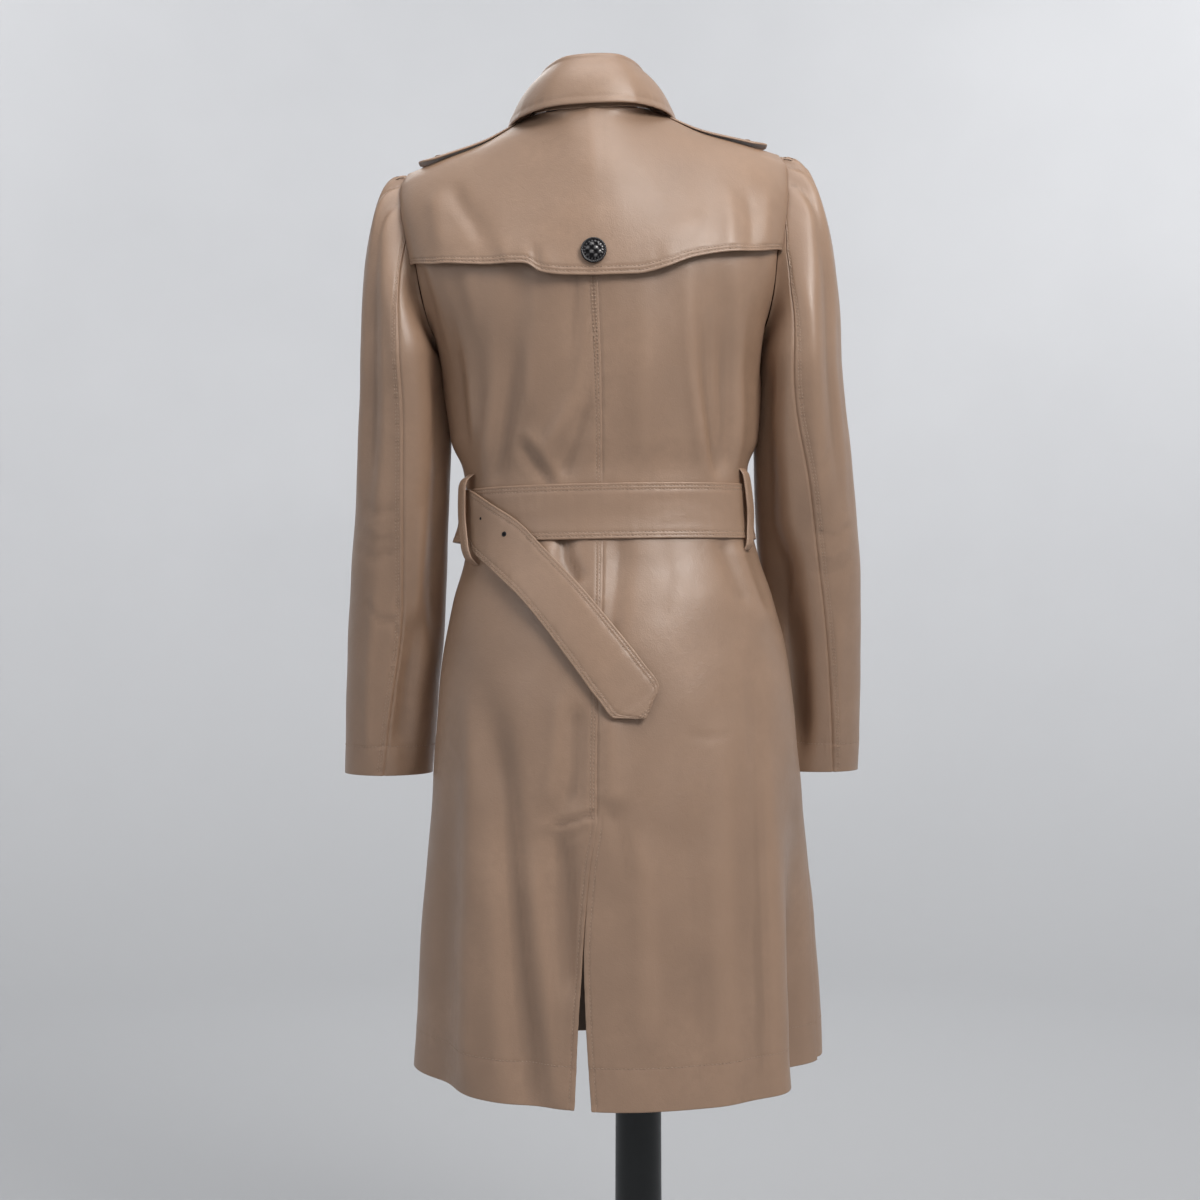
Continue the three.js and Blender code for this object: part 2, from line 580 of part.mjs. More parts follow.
// The cap: a curve from the armhole that swells outwards, with small gathers at the head
const GATHERS = 7;
const GATHER_DEPTH = 1.6;
function capPoint(side, turn, share) {
  const start = armholePoint(side, turn);
  const end = armPoint(side, turn, CAP_Z);
  const sine = Math.sin(degrees(turn));
  const cosine = Math.cos(degrees(turn));
  const top = Math.max(0, cosine);
  const leave = new THREE.Vector3(side * (0.9 + 0.1 * top), 0.42 * sine, 0.87 * top - 0.65);
  start.addScaledVector(new THREE.Vector3(side, 0, 0), ARMHOLE_GAP);
  const reach = start.distanceTo(end);
  const first = start.clone().addScaledVector(leave.normalize(), 4 + reach * 0.17);
  const second = end.clone().add(new THREE.Vector3(0, 0, reach * 0.55));
  const point = new THREE.CubicBezierCurve3(start, first, second, end).getPoint(share);
  const away = turn > 180 ? turn - 360 : turn;
  const head = Math.exp(-((away / 52) ** 2)) * Math.sin(Math.PI * Math.min(1, share * 1.6)) ** 2;
  const gather = GATHER_DEPTH * head * Math.cos((away / 60) * Math.PI * GATHERS * 0.5);
  const outward = new THREE.Vector3(side * (1 - 0.4 * top), 0.5 * sine, top).normalize();
  return point.addScaledVector(outward, gather);
}

function sleevePoint(side, turn, height) {
  return height > 1 ? armPoint(side, turn, height) : capPoint(side, turn, height);
}

function sleeveOffset(side, turn, height, offset) {
  const isCap = height <= 1;
  const next = isCap ? [Math.max(0, height - 0.02), Math.min(1, height + 0.02)] : [height + 3, height - 3];
  const round = sleevePoint(side, turn + 2, height).sub(sleevePoint(side, turn - 2, height));
  const down = sleevePoint(side, turn, next[1]).sub(sleevePoint(side, turn, next[0]));
  const normal = round.cross(down).multiplyScalar(-side).normalize();
  return sleevePoint(side, turn, height).addScaledVector(normal, offset);
}

// Rows of a sleeve: shares of the cap down to 1, then levels down to the cuff
const CAP_SHARES = [0, 0.07, 0.18, 0.32, 0.48, 0.7, 1];
const SLEEVE_ROWS = [...CAP_SHARES, 1105, 1060, 1015, 970, 925, 880, 835, 790, 750, CUFF_Z];
const SLEEVE_SEAM_TURN = 0.45;

function sleeveShell(side, isTop) {
  const point = (share, height, offset) => {
    const level = height > 1 ? height : 1149 + (1 - height);
    const seam = along(BACK_SEAM, "turn", level);
    const from = SLEEVE_SEAM_TURN + (isTop ? FRONT_SEAM - 360 : seam);
    const to = (isTop ? seam : FRONT_SEAM) - SLEEVE_SEAM_TURN;
    const turn = (from + (to - from) * share + 360) % 360;
    return sleeveOffset(side, turn, height, offset);
  };
  return sheet(point, steps(isTop ? 16 : 8), SLEEVE_ROWS);
}
for (const side of [1, -1]) {
  const name = side > 0 ? "left" : "right";
  add(`top_sleeve_${name}`, sleeveShell(side, true), LEATHER);
  add(`under_sleeve_${name}`, sleeveShell(side, false), LEATHER);
}

// Epaulettes lie over the shoulder seam, from under the collar to a free pointed end
const EPAULETTE = [
  { x: 78, half: 17, lift: 4.2 },
  { x: 100, half: 18, lift: 4.4 },
  { x: 130, half: 19, lift: 4.8 },
  { x: 160, half: 19.5, lift: 6 },
  { x: 172, half: 17, lift: 7.4 },
  { x: 180, half: 7, lift: 8.4 },
];
const SHOULDER_DROP = 0.011;

function epaulettePoint(side, x, across, offset) {
  const half = along(EPAULETTE, "half", x);
  const aside = half * across;
  const z = along(SHOULDER, "z", x) + along(EPAULETTE, "lift", x) - SHOULDER_DROP * aside * aside;
  return place(side * x, along(SHOULDER, "y", x) + aside, z + WALL + offset);
}

function epaulette(side) {
  const stations = [78, 90, 102, 115, 130, 145, 160, 167, 173, 177, 180];
  const point = (across, x, offset) => epaulettePoint(side, x, across * 2 - 1, offset);
  return sheet(point, steps(6), stations);
}

// A domed shank button: its disc, rim and dome turned about its axis, then set on the cloth
const BUTTON_RADIUS = 12.7;
const BUTTON_SIDES = 16;
const BUTTON_STAND = 0.6;
function button(radius) {
  const profile = [
    [0, 0], [radius * 0.35, 0], [radius * 0.35, 1.8], [radius, 2.6], [radius, 4.2], [radius * 0.8, 4.8],
    [0, 6.2],
  ];
  const points = profile.map(([r, h]) => new THREE.Vector2(r, h));
  return tidy(new THREE.LatheGeometry(points, BUTTON_SIDES));
}

// A turned or extruded geometry as a plain closed solid with its shared corners joined
function tidy(geometry) {
  geometry.deleteAttribute("normal");
  geometry.deleteAttribute("uv");
  const merged = mergeVertices(geometry, 1e-4);
  const index = [];
  for (let k = 0; k < merged.index.count; k += 3) {
    const [a, b, c] = [0, 1, 2].map((n) => merged.index.getX(k + n));
    if (a !== b && b !== c && c !== a) index.push(a, b, c);
  }
  return solid(Array.from(merged.attributes.position.array), index);
}

// A button stands on the spot that its shank meets, a small gap above the cloth
function buttonOn(name, radius, surface) {
  const seat = surface(BUTTON_STAND);
  const outward = surface(10).sub(surface(0)).normalize();
  const turn = new THREE.Quaternion().setFromUnitVectors(new THREE.Vector3(0, 1, 0), outward);
  const geometry = button(radius);
  geometry.applyMatrix4(new THREE.Matrix4().compose(seat, turn, new THREE.Vector3(1, 1, 1)));
  add(name, geometry, BUTTON_METAL);
}

for (const side of [1, -1]) {
  const name = side > 0 ? "left" : "right";
  add(`epaulette_${name}`, epaulette(side), LEATHER);
  buttonOn(`epaulette_button_${name}`, 6, (lift) => epaulettePoint(side, 158, 0, lift));
}
buttonOn("storm_flap_button", BUTTON_RADIUS, (lift) => onBack(3, 1243, LAYER + 2.2 + lift));

// The flat facets of a front lie a little inside its curve, and the buttons sink by as much
const BUTTON_ROWS = [1132, 1058, 893];
const LEFT_SINK = 0.35;
const RIGHT_SINK = 0.6;
BUTTON_ROWS.forEach((z, row) => {
  const left = (lift) => onFront(BUTTON_COLUMN, z, lift - LEFT_SINK);
  const right = (lift) => onFront(-BUTTON_COLUMN, z, lift - RIGHT_SINK);
  buttonOn(`front_button_${2 * row + 1}`, BUTTON_RADIUS, left);
  buttonOn(`front_button_${2 * row + 2}`, BUTTON_RADIUS, right);
});

// Belt: a strap round the waist whose two ends meet under the buckle
const BUCKLE_ANGLE = 176;
const BELT_OUT = LAYER;
const BELT_END_TURN = 0.4;
const BELT_ROUND = 360 - 2 * BELT_END_TURN;
const BELT_ANGLES = steps(40).map((share) => BUCKLE_ANGLE - 360 + BELT_END_TURN + BELT_ROUND * share);
const BELT_LEVELS = [0, 0.5, 1];

function beltPoint(angle, share, out) {
  const z = BELT_LOW_Z + (BELT_HIGH_Z - BELT_LOW_Z) * share;
  return bodyOffset(((angle + 540) % 360) - 180, z, out);
}
const strapPoint = (angle, up, offset) => beltPoint(angle, up, BELT_OUT + offset);
add("belt", sheet(strapPoint, BELT_ANGLES, BELT_LEVELS), TRIM);

// The belt's end passes through the buckle, round the left side and out of the left loop,
// then hangs across the back. Each row gives its upper and lower edge and how far it stands off.
const TAIL = [
  { topX: 133, topZ: 1016, lowX: 133, lowZ: 951, out: 7.5 },
  { topX: 113, topZ: 1001, lowX: 121, lowZ: 939, out: 9 },
  { topX: 88, topZ: 981, lowX: 107, lowZ: 924, out: 10 },
  { topX: 65, topZ: 953, lowX: 90, lowZ: 907, out: 11 },
  { topX: 31, topZ: 913, lowX: 71, lowZ: 883, out: 9 },
  { topX: 2, topZ: 877, lowX: 41, lowZ: 841, out: 8 },
  { topX: -23, topZ: 844, lowX: 16.5, lowZ: 806, out: 7 },
  { topX: -39.5, topZ: 818, lowX: 1.5, lowZ: 789, out: 7 },
  { topX: -33.5, topZ: 803, lowX: -14, lowZ: 788.5, out: 7 },
  { topX: -29, topZ: 792, lowX: -25.5, lowZ: 788, out: 7 },
];
const TAIL_SLACK = 0.5;
const TAIL_LEVELS = [0, 0.25, 0.5, 0.75, 1];
const SIDE_ANGLES = [177, 169, 160, 150, 140, 130, 120, 110, 102, 95, 88, 81, 75, 70];

function beltTail() {
  const rows = (offset) => {
    const grid = SIDE_ANGLES.map((angle) => TAIL_LEVELS.map((up) => {
      const flare = 9 * Math.exp(-(((angle - 86) / 14) ** 2)) * (1 - up) ** 1.5;
      return beltPoint(angle, up, BELT_OUT + LAYER + TAIL_SLACK + flare + offset);
    }));
    for (const row of TAIL) {
      grid.push(TAIL_LEVELS.map((up) => {
        const x = row.lowX + (row.topX - row.lowX) * up;
        const z = row.lowZ + (row.topZ - row.lowZ) * up;
        return onBack(x, z, row.out + offset);
      }));
    }
    return grid;
  };
  return wall(rows(0), rows(-WALL));
}
add("belt_tail", beltTail(), TRIM);

// Two narrow loops bow over the belt; share runs from a loop's lower end to its upper end
const LOOP_X = 137;
const LOOP_HALF = 4.5;
const LOOP_THICKNESS = 1.6;
const LOOP_HIGH_Z = 1034;
const LOOP = [
  { share: 0, left: 0.8, right: 0.8 },
  { share: 0.06, left: 9.5, right: 4.5 },
  { share: 0.18, left: 13, right: 6 },
  { share: 0.5, left: 14, right: 8 },
  { share: 0.86, left: 12, right: 6 },
  { share: 0.94, left: 9, right: 4.5 },
  { share: 1, left: 0.8, right: 0.8 },
];

function beltLoop(side) {
  const hand = side > 0 ? "left" : "right";
  const low = side > 0 ? 940 : 952;
  const point = (across, share, offset) => {
    const x = side * LOOP_X + (across - 0.5) * 2 * LOOP_HALF;
    return onBack(x, low + (LOOP_HIGH_Z - low) * share, WALL + along(LOOP, hand, share) + offset);
  };
  const shares = [0, 0.05, 0.1, 0.18, 0.34, 0.5, 0.66, 0.82, 0.9, 0.95, 1];
  return sheet(point, steps(2), shares, LOOP_THICKNESS);
}
add("belt_loop_left", beltLoop(1), TRIM);
add("belt_loop_right", beltLoop(-1), TRIM);

// Buckle: a covered frame bent to the waist, with a prong across it, above the belt's end
const BUCKLE_X = -7;
const BUCKLE_Z = (BELT_LOW_Z + BELT_HIGH_Z) / 2;
const BUCKLE_OUT = BELT_OUT + LAYER + TAIL_SLACK + 0.5;

function roundedRectangle(width, height, radius) {
  const shape = new THREE.Shape();
  const w = width / 2 - radius;
  const h = height / 2 - radius;
  shape.absarc(w, h, radius, 0, Math.PI / 2);
  shape.absarc(-w, h, radius, Math.PI / 2, Math.PI);
  shape.absarc(-w, -h, radius, Math.PI, Math.PI * 1.5);
  shape.absarc(w, -h, radius, Math.PI * 1.5, Math.PI * 2);
  return shape;
}

// Bends a flat extrusion onto the front of the waist: its own depth becomes the offset
function bendOnFront(geometry, out) {
  const position = geometry.attributes.position;
  for (let i = 0; i < position.count; i += 1) {
    const x = BUCKLE_X + position.getX(i);
    const z = BUCKLE_Z + position.getY(i);
    const point = onFront(x, z, out + position.getZ(i));
    position.setXYZ(i, point.x, point.y, point.z);
  }
  return solid(Array.from(position.array), Array.from(geometry.index.array));
}

function buckle() {
  const shape = roundedRectangle(66, 74, 10);
  shape.holes.push(roundedRectangle(48, 56, 5));
  const extrusion = { depth: 5, bevelEnabled: false, curveSegments: 4 };
  return bendOnFront(tidy(new THREE.ExtrudeGeometry(shape, extrusion)), BUCKLE_OUT);
}
add("buckle", buckle(), LEATHER);

function prong() {
  const bar = new THREE.BoxGeometry(46, 5, 3, 6, 1, 1).translate(0, 0, 1.5);
  return bendOnFront(tidy(bar), BUCKLE_OUT);
}
add("buckle_prong", prong(), LEATHER);

// Dress form: a smooth limbless torso that stays inside the coat, and its neck and flat cap
const FORM = [
  { z: 742, half: 118, back: 78, front: 78, square: 2.1 },
  { z: 748, half: 128, back: 88, front: 86, square: 2.1 },
  { z: 800, half: 158, back: 112, front: 108, square: 2.1 },
  { z: 850, half: 160, back: 112, front: 109, square: 2.15 },
  { z: 903, half: 148, back: 100, front: 102, square: 2.15 },
  { z: 950, half: 133, back: 86, front: 92, square: 2.2 },
  { z: 1000, half: 128, back: 79, front: 90, square: 2.2 },
  { z: 1060, half: 138, back: 86, front: 100, square: 2.2 },
  { z: 1110, half: 148, back: 95, front: 114, square: 2.2 },
  { z: 1165, half: 154, back: 103, front: 123, square: 2.2 },
  { z: 1215, half: 158, back: 108, front: 118, square: 2.2 },
  { z: 1260, half: 163, back: 106, front: 104, square: 2.2 },
  { z: 1300, half: 166, back: 96, front: 84, square: 2.1 },
  { z: 1325, half: 164, back: 84, front: 66, square: 2.0 },
  { z: 1340, half: 154, back: 76, front: 56, square: 1.9 },
  { z: 1352, half: 130, back: 68, front: 50, square: 1.85 },
  { z: 1364, half: 92, back: 60, front: 42, square: 1.9 },
  { z: 1376, half: 64, back: 56, front: 42, square: 1.95 },
  { z: 1392, half: 52, back: 53, front: 43, square: 2.0 },
  { z: 1420, half: 47, back: 48, front: 46, square: 2.0 },
  { z: 1446, half: 44, back: 45, front: 45, square: 2.0 },
  { z: 1452, half: 40, back: 41, front: 41, square: 2.0 },
];
const FORM_SIDES = 32;

function formTorso() {
  const rings = FORM.map((row) => steps(FORM_SIDES).slice(1).map((share) => {
    const sine = Math.sin(share * Math.PI * 2);
    const cosine = Math.cos(share * Math.PI * 2);
    const deep = cosine > 0 ? row.back : row.front;
    return place(row.half * power(sine, 2 / row.square), deep * power(cosine, 2 / row.square), row.z);
  }));
  const positions = rings.flat().flatMap((point) => [point.x, point.y, point.z]);
  const last = rings.length - 1;
  const bottom = positions.length / 3;
  const ends = [place(0, 0, FORM[0].z), place(0, 0, FORM[last].z)];
  positions.push(...ends.flatMap((point) => [point.x, point.y, point.z]));
  const index = [];
  for (let j = 0; j < FORM_SIDES; j += 1) {
    const next = (j + 1) % FORM_SIDES;
    for (let i = 0; i < last; i += 1) {
      const a = i * FORM_SIDES;
      const b = a + FORM_SIDES;
      index.push(a + j, a + next, b + next, a + j, b + next, b + j);
    }
    index.push(bottom, next, j, bottom + 1, last * FORM_SIDES + j, last * FORM_SIDES + next);
  }
  return solid(positions, index);
}
add("form_torso", formTorso(), FORM_CLOTH);

// Post and base: the post stands on the base and ends just under the torso
const POST_LOW_RADIUS = 25;
const POST_HIGH_RADIUS = 22.5;
const BASE_RADIUS = 180;
const BASE_HEIGHT = 24;
const SEAT_GAP = 0.3;
const base = [[0, 0], [172, 0], [BASE_RADIUS, 3], [BASE_RADIUS, 9], [172, 13], [60, 18], [36, BASE_HEIGHT],
  [0, BASE_HEIGHT]];
const baseProfile = base.map(([r, h]) => new THREE.Vector2(r, h));
add("form_base", tidy(new THREE.LatheGeometry(baseProfile, 36).rotateX(Math.PI / 2)), POST_METAL);
const postHeight = FORM[0].z - 0.6 - SEAT_GAP - BASE_HEIGHT - SEAT_GAP;
const post = new THREE.CylinderGeometry(POST_HIGH_RADIUS, POST_LOW_RADIUS, postHeight, 24);
post.rotateX(Math.PI / 2).translate(0, 0, BASE_HEIGHT + SEAT_GAP + postHeight / 2);
add("form_pole", tidy(post), POST_METAL);

export default coat;
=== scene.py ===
# %% [markdown]
# # A leather trench coat on its dress form
# The real coat is soft lamb leather, about one millimetre thick and turned double at every edge.
# Its CAD model gives the sizes. Here each cut piece is made again as a thin shell on the same
# sections, fine enough to carry its creases, seams and stitches.
# Lengths are in millimetres until a mesh is written, where they become metres.

# %% Load the frame
import math

import bpy
import numpy as np
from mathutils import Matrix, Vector


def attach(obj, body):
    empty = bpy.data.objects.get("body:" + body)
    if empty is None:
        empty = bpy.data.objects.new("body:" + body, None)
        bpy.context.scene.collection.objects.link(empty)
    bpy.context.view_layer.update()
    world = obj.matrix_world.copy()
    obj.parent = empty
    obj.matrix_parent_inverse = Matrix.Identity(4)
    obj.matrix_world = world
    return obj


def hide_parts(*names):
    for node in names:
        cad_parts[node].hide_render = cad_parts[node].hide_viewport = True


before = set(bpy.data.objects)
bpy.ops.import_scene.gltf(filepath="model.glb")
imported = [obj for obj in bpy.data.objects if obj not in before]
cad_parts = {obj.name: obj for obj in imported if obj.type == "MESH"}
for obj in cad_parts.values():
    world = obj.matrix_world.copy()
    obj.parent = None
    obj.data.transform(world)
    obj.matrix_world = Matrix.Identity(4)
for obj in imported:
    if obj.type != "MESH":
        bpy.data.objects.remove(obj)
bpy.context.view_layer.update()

# %% [markdown]
# ## Tables and the curves through them
# A pattern cutter keeps a coat as a few sections and joins them with a smooth line. A spline could
# swing past its own points, so a monotone cubic is used: it never leaves the range of its two rows.

# %% Curves
SEAM_GAP = 0.3
WALL = 2.0
LAYER = 2.8
HEM_Z, UNDERARM_Z, NECK_Z, BREAK_Z = 417.0, 1165.0, 1401.0, 1180.0
BELT_LOW_Z, BELT_HIGH_Z = 964.0, 1018.0
NECK_HALF, SHOULDER_HALF, FRONT_LAP, BUTTON_COLUMN = 64.0, 190.0, 88.0, 62.0


def table(names, rows):
    """A table as one array for each named column; the first one is what it is read by."""
    return dict(zip(names.split(), np.array(rows, float).T))


def curve(keys, values, at):
    """Cubic between two rows; a tangent is the harmonic mean of the slopes beside it, or none."""
    keys, values = np.asarray(keys, float), np.asarray(values, float)
    at = np.clip(np.asarray(at, float), keys[0], keys[-1])
    row = np.clip(np.searchsorted(keys, at, side="right") - 1, 0, len(keys) - 2)
    more = (slice(None),) + (None,) * (values.ndim - 1)
    slope = np.diff(values, axis=0) / np.diff(keys)[more]
    before, after = slope[:-1], slope[1:]
    total = np.where(np.abs(before + after) < 1e-12, 1.0, before + after)
    middle = np.where(before * after > 0, 2 * before * after / total, 0.0)
    tangent = np.concatenate([slope[:1], middle, slope[-1:]])
    span = keys[row + 1] - keys[row]
    t = (at - keys[row]) / span
    if values.ndim > 1:
        t, span = t[..., None], span[..., None]
        if values.ndim > 2:
            t, span = t[..., None], span[..., None]
    turn = tangent[row] * t * (1 - t) ** 2 - tangent[row + 1] * t * t * (1 - t)
    return values[row] * (1 + 2 * t) * (1 - t) ** 2 + values[row + 1] * t * t * (3 - 2 * t) + turn * span


def read(source, name, at):
    """One column of a table, read along its first column."""
    return curve(next(iter(source.values())), source[name], at)


def smooth(low, high, at):
    """0 below low, 1 above high, and an even S between them."""
    t = np.clip((np.asarray(at, float) - low) / (high - low), 0, 1)
    return t * t * (3 - 2 * t)


def power(value, exponent):
    """A power that keeps the sign, which turns a circle into a rounded square."""
    return np.sign(value) * np.abs(value) ** exponent


def sine(angle):
    return np.sin(np.radians(angle))


def cosine(angle):
    return np.cos(np.radians(angle))


def unit(vector):
    """Vectors scaled to a length of one."""
    return vector / np.maximum(np.linalg.norm(vector, axis=-1, keepdims=True), 1e-9)


print("curve at a row and between two", curve([0, 1, 3], [0, 2, 4], [1, 2]))

# %% [markdown]
# ## The body of the coat
# Round the body a section is a rounded square, wide at the hem and drawn in by the belt. Above the
# underarm it closes over the shoulder. Big folds swell from nothing at hip height to full at the hem.

# %% Sections
BODY = table("z half back front square", [
    [417, 208, 168, 162, 2.0], [486, 204.5, 163, 157, 2.0], [616, 197, 153, 148, 2.0],
    [722, 189.5, 145, 141, 2.0], [796, 185, 138, 136, 2.0], [850, 178, 130, 130, 2.0],
    [903, 166, 118, 121, 2.05], [945, 153, 103, 111, 2.15], [991, 146, 93, 106, 2.2],
    [1030, 147, 93, 109, 2.2], [1065, 153, 99, 119, 2.2], [1110, 159, 106, 132, 2.2],
    [1165, 163.5, 113, 140, 2.2]])
STANCE = table("z middle lean", [
    [417, 20, 0], [600, 20.5, 0.002], [735, 22.5, 0.005], [903, 26.5, 0.012], [1023, 32.7, 0.02],
    [1165, 39.5, 0.03], [1240, 43, 0.038], [1345, 46.5, 0.051], [1400, 48.5, 0.05],
    [1460, 48.5, 0.045]])
YOKE = table("rise edge edgeBack edgeFront back front", [
    [0, 163.5, 0, 0, 113, 140], [0.12, 173, 30, 28, 117, 140], [0.28, 179.5, 46, 44, 119, 136],
    [0.46, 184, 50, 48, 119, 128], [0.62, 190, 46, 42, 117, 119], [0.8, 196, 36, 32, 114, 108],
    [0.92, 197, 22, 20, 111, 98], [1, 190, 4, -4, 108, 90]])
SHOULDER = table("x z y", [
    [0, 1392, 80], [30, 1393, 72], [52, 1397, 45], [64, 1401, 12], [86, 1390, 9], [112, 1378, 7],
    [152, 1366, 5], [190, 1353, 4]])
CENTRE_BACK = table("z left right", [
    [417, 45.6, 27.8], [465, 43.5, 31.2], [510, 40.9, 33.4], [555, 38, 34.9], [606, 33.8, 32.2],
    [645, 29.4, 28.2], [692, 21.6, 21.2], [757, 20, 20], [942, 9, 9], [1120, 1, 1], [1165, 0, 0]])
# Large folds: angle, width, depth, and the heights where they start and are full
FOLDS = [
    (-49, 9, 9, 820, 560), (-72, 13, -38, 760, 430), (-102, 13, 11, 800, 480), (19, 7, -6, 900, 560),
    (38, 9, 5, 900, 560), (60, 9, -8, 860, 560), (84, 11, 5, 820, 520), (118, 12, -9, 860, 520),
    (146, 12, 5, 860, 560), (-26, 9, 4, 880, 560), (-136, 13, -8, 860, 540), (-158, 10, 4, 860, 560)]
UNDERARM_EXPONENT = 2 / 2.2
SHOULDER_SEAM = 0.8


def place(x, y, z):
    """From the coat's own middle to the frame: the middle shifts and the level lines lean."""
    x, y, z = np.broadcast_arrays(x, y, z)
    return np.stack([x + read(STANCE, "middle", z), y, z - read(STANCE, "lean", z) * x], -1)


def fold_depth(angle, z):
    """Each fold is a bell round the coat, times an S down it."""
    depth = np.zeros(np.broadcast(angle, z).shape)
    for where, width, deep, high, low in FOLDS:
        turn = (angle - where + 540) % 360 - 180
        depth = depth + deep * np.exp(-((turn / width) ** 2)) * (1 - smooth(low, high, z))
    return depth


def lower_point(angle, level):
    """Rounded square section: half width and depth times the powered sine and cosine."""
    rise = 7 * sine(angle) ** 2 + np.where(cosine(angle) < 0, 3, 0)
    z = level + rise * (1 - smooth(HEM_Z, 600, level))
    exponent = 2 / read(BODY, "square", z)
    fold = fold_depth(angle, z)
    deep = np.where(cosine(angle) > 0, read(BODY, "back", z), read(BODY, "front", z)) + fold
    half = read(BODY, "half", z) + fold
    return place(half * power(sine(angle), exponent), deep * power(cosine(angle), exponent), z)


def yoke_point(angle, rise):
    """A rounded section that closes over the shoulder seam as its rise goes from 0 to 1."""
    across = power(sine(angle), UNDERARM_EXPONENT)
    forth = power(cosine(angle), UNDERARM_EXPONENT)
    is_back = forth > 0
    top_x = np.abs(SHOULDER_HALF * across)
    edge = np.where(is_back, read(YOKE, "edgeBack", rise), read(YOKE, "edgeFront", rise))
    deep = np.where(is_back, read(YOKE, "back", rise), read(YOKE, "front", rise))
    section = edge + (deep - edge) * np.abs(forth)
    over_neck = 1 - smooth(NECK_HALF * 0.5, NECK_HALF, top_x)
    front_y = 12 - 70 * np.sqrt(np.maximum(0, 1 - (top_x / NECK_HALF) ** 2))
    on_seam = is_back | (top_x > NECK_HALF)
    top_y = np.where(on_seam, read(SHOULDER, "y", top_x), front_y)
    top_z = np.where(on_seam, read(SHOULDER, "z", top_x), NECK_Z)
    round_close = 1 - np.sqrt(np.maximum(0, 1 - rise * rise))
    close = round_close + (np.abs(rise) ** 2.6 - round_close) * over_neck
    seam_y = np.where(is_back, 1, -1) * (SHOULDER_SEAM + 1.4 * (top_x / SHOULDER_HALF) ** 6)
    y = np.where(is_back, section, -section) * (1 - close) + (top_y + seam_y) * close
    return place(read(YOKE, "edge", rise) * across, y, UNDERARM_Z + (top_z - UNDERARM_Z) * rise)


def body_point(angle, height):
    """A level in millimetres up to the underarm, and above it the underarm plus a rise."""
    angle, height = np.broadcast_arrays(np.asarray(angle, float), np.asarray(height, float))
    low = lower_point(angle, np.minimum(height, UNDERARM_Z))
    high = yoke_point(angle, np.clip(height - UNDERARM_Z, 0, 1))
    return np.where((height > UNDERARM_Z)[..., None], high, low)


def body_normal(angle, height):
    """The cross product of the slopes up and round the body."""
    angle, height = np.broadcast_arrays(np.asarray(angle, float), np.asarray(height, float))
    is_yoke = height > UNDERARM_Z
    down = np.where(is_yoke, np.maximum(UNDERARM_Z + 1e-6, height - 0.01), height - 2)
    up = np.where(is_yoke, np.minimum(UNDERARM_Z + 0.999, height + 0.01), np.minimum(UNDERARM_Z, height + 2))
    is_back = cosine(angle) >= 0
    inside = np.sign(angle) * np.where(is_back, 90 - 0.01, 90 + 0.01)
    at_side = is_yoke & (np.abs(np.abs(angle) - 90) < 1)
    before = is_back == (angle > 0)
    start = np.where(at_side, np.where(before, inside - 2, inside), angle - 1)
    end = np.where(at_side, np.where(before, inside, inside + 2), angle + 1)
    round_slope = body_point(end, height) - body_point(start, height)
    rise_slope = body_point(angle, up) - body_point(angle, down)
    return unit(np.cross(rise_slope, round_slope))


def body_offset(angle, height, out):
    """A point of the body moved out along the normal."""
    return body_point(angle, height) + body_normal(angle, height) * np.asarray(out)[..., None]


def find(x, z, is_back):
    """The angle and height of the point with this width and level, by a short fixed-point search."""
    x, z = np.broadcast_arrays(np.asarray(x, float), np.asarray(z, float))
    low_sine = power(x / read(BODY, "half", z), read(BODY, "square", z) / 2)
    rise = (z - UNDERARM_Z) / (NECK_Z - UNDERARM_Z)
    for _ in range(8):
        share = np.clip(x / read(YOKE, "edge", rise), -1, 1)
        top_x = np.abs(share) * SHOULDER_HALF
        top_z = read(SHOULDER, "z", top_x)
        if not is_back:
            top_z = np.where(top_x > NECK_HALF, top_z, NECK_Z)
        rise = np.minimum(1, (z - UNDERARM_Z) / (top_z - UNDERARM_Z))
    is_low = z <= UNDERARM_Z
    angle = np.degrees(np.arcsin(np.clip(np.where(is_low, low_sine, power(share, 1.1)), -1, 1)))
    height = np.where(is_low, z, UNDERARM_Z + rise)
    return (angle if is_back else 180 - angle), height


def on_back(x, z, out):
    return body_offset(*find(x, z, True), out)


def on_front(x, z, out):
    angle, height = find(x, z, False)
    return body_offset(np.where(angle > 180, angle - 360, angle), height, out)


print("centre back at the belt", on_back(0.0, 991.0, 0.0).round(1))

# %% [markdown]
# ## Creases
# Leather keeps soft troughs and ridges where it hangs, and short sharp wrinkles where it was
# bent. Sculpting them by hand can't be repeated, so each crease is a path on the cloth with a width
# and a depth. Points near the path move out or in by a bell of their distance.

# %% Crease paths
def near(path, a, b):
    """The distance to a broken line, and how far along it the nearest point lies."""
    path = np.array(path, float)
    lengths = np.hypot(*np.diff(path, axis=0).T)
    best = np.full(np.broadcast(a, b).shape, np.inf)
    share = np.zeros(best.shape)
    done = 0.0
    for start, end, length in zip(path[:-1], path[1:], lengths):
        step = end - start
        t = np.clip(((a - start[0]) * step[0] + (b - start[1]) * step[1]) / length ** 2, 0, 1)
        away = np.hypot(a - start[0] - t * step[0], b - start[1] - t * step[1])
        closer = away < best
        best = np.where(closer, away, best)
        share = np.where(closer, (done + t * length) / lengths.sum(), share)
        done += length
    return best, share


def crease(a, b, creases, fade=0.22):
    """The sum of bells exp(-(distance / width) squared), each fading out towards its two ends."""
    depth = np.zeros(np.broadcast(a, b).shape)
    for width, deep, path in creases:
        away, share = near(path, a, b)
        ends = smooth(0, fade, share) * (1 - smooth(1 - fade, 1, share))
        depth = depth + deep * ends * np.exp(-((away / width) ** 2))
    return depth


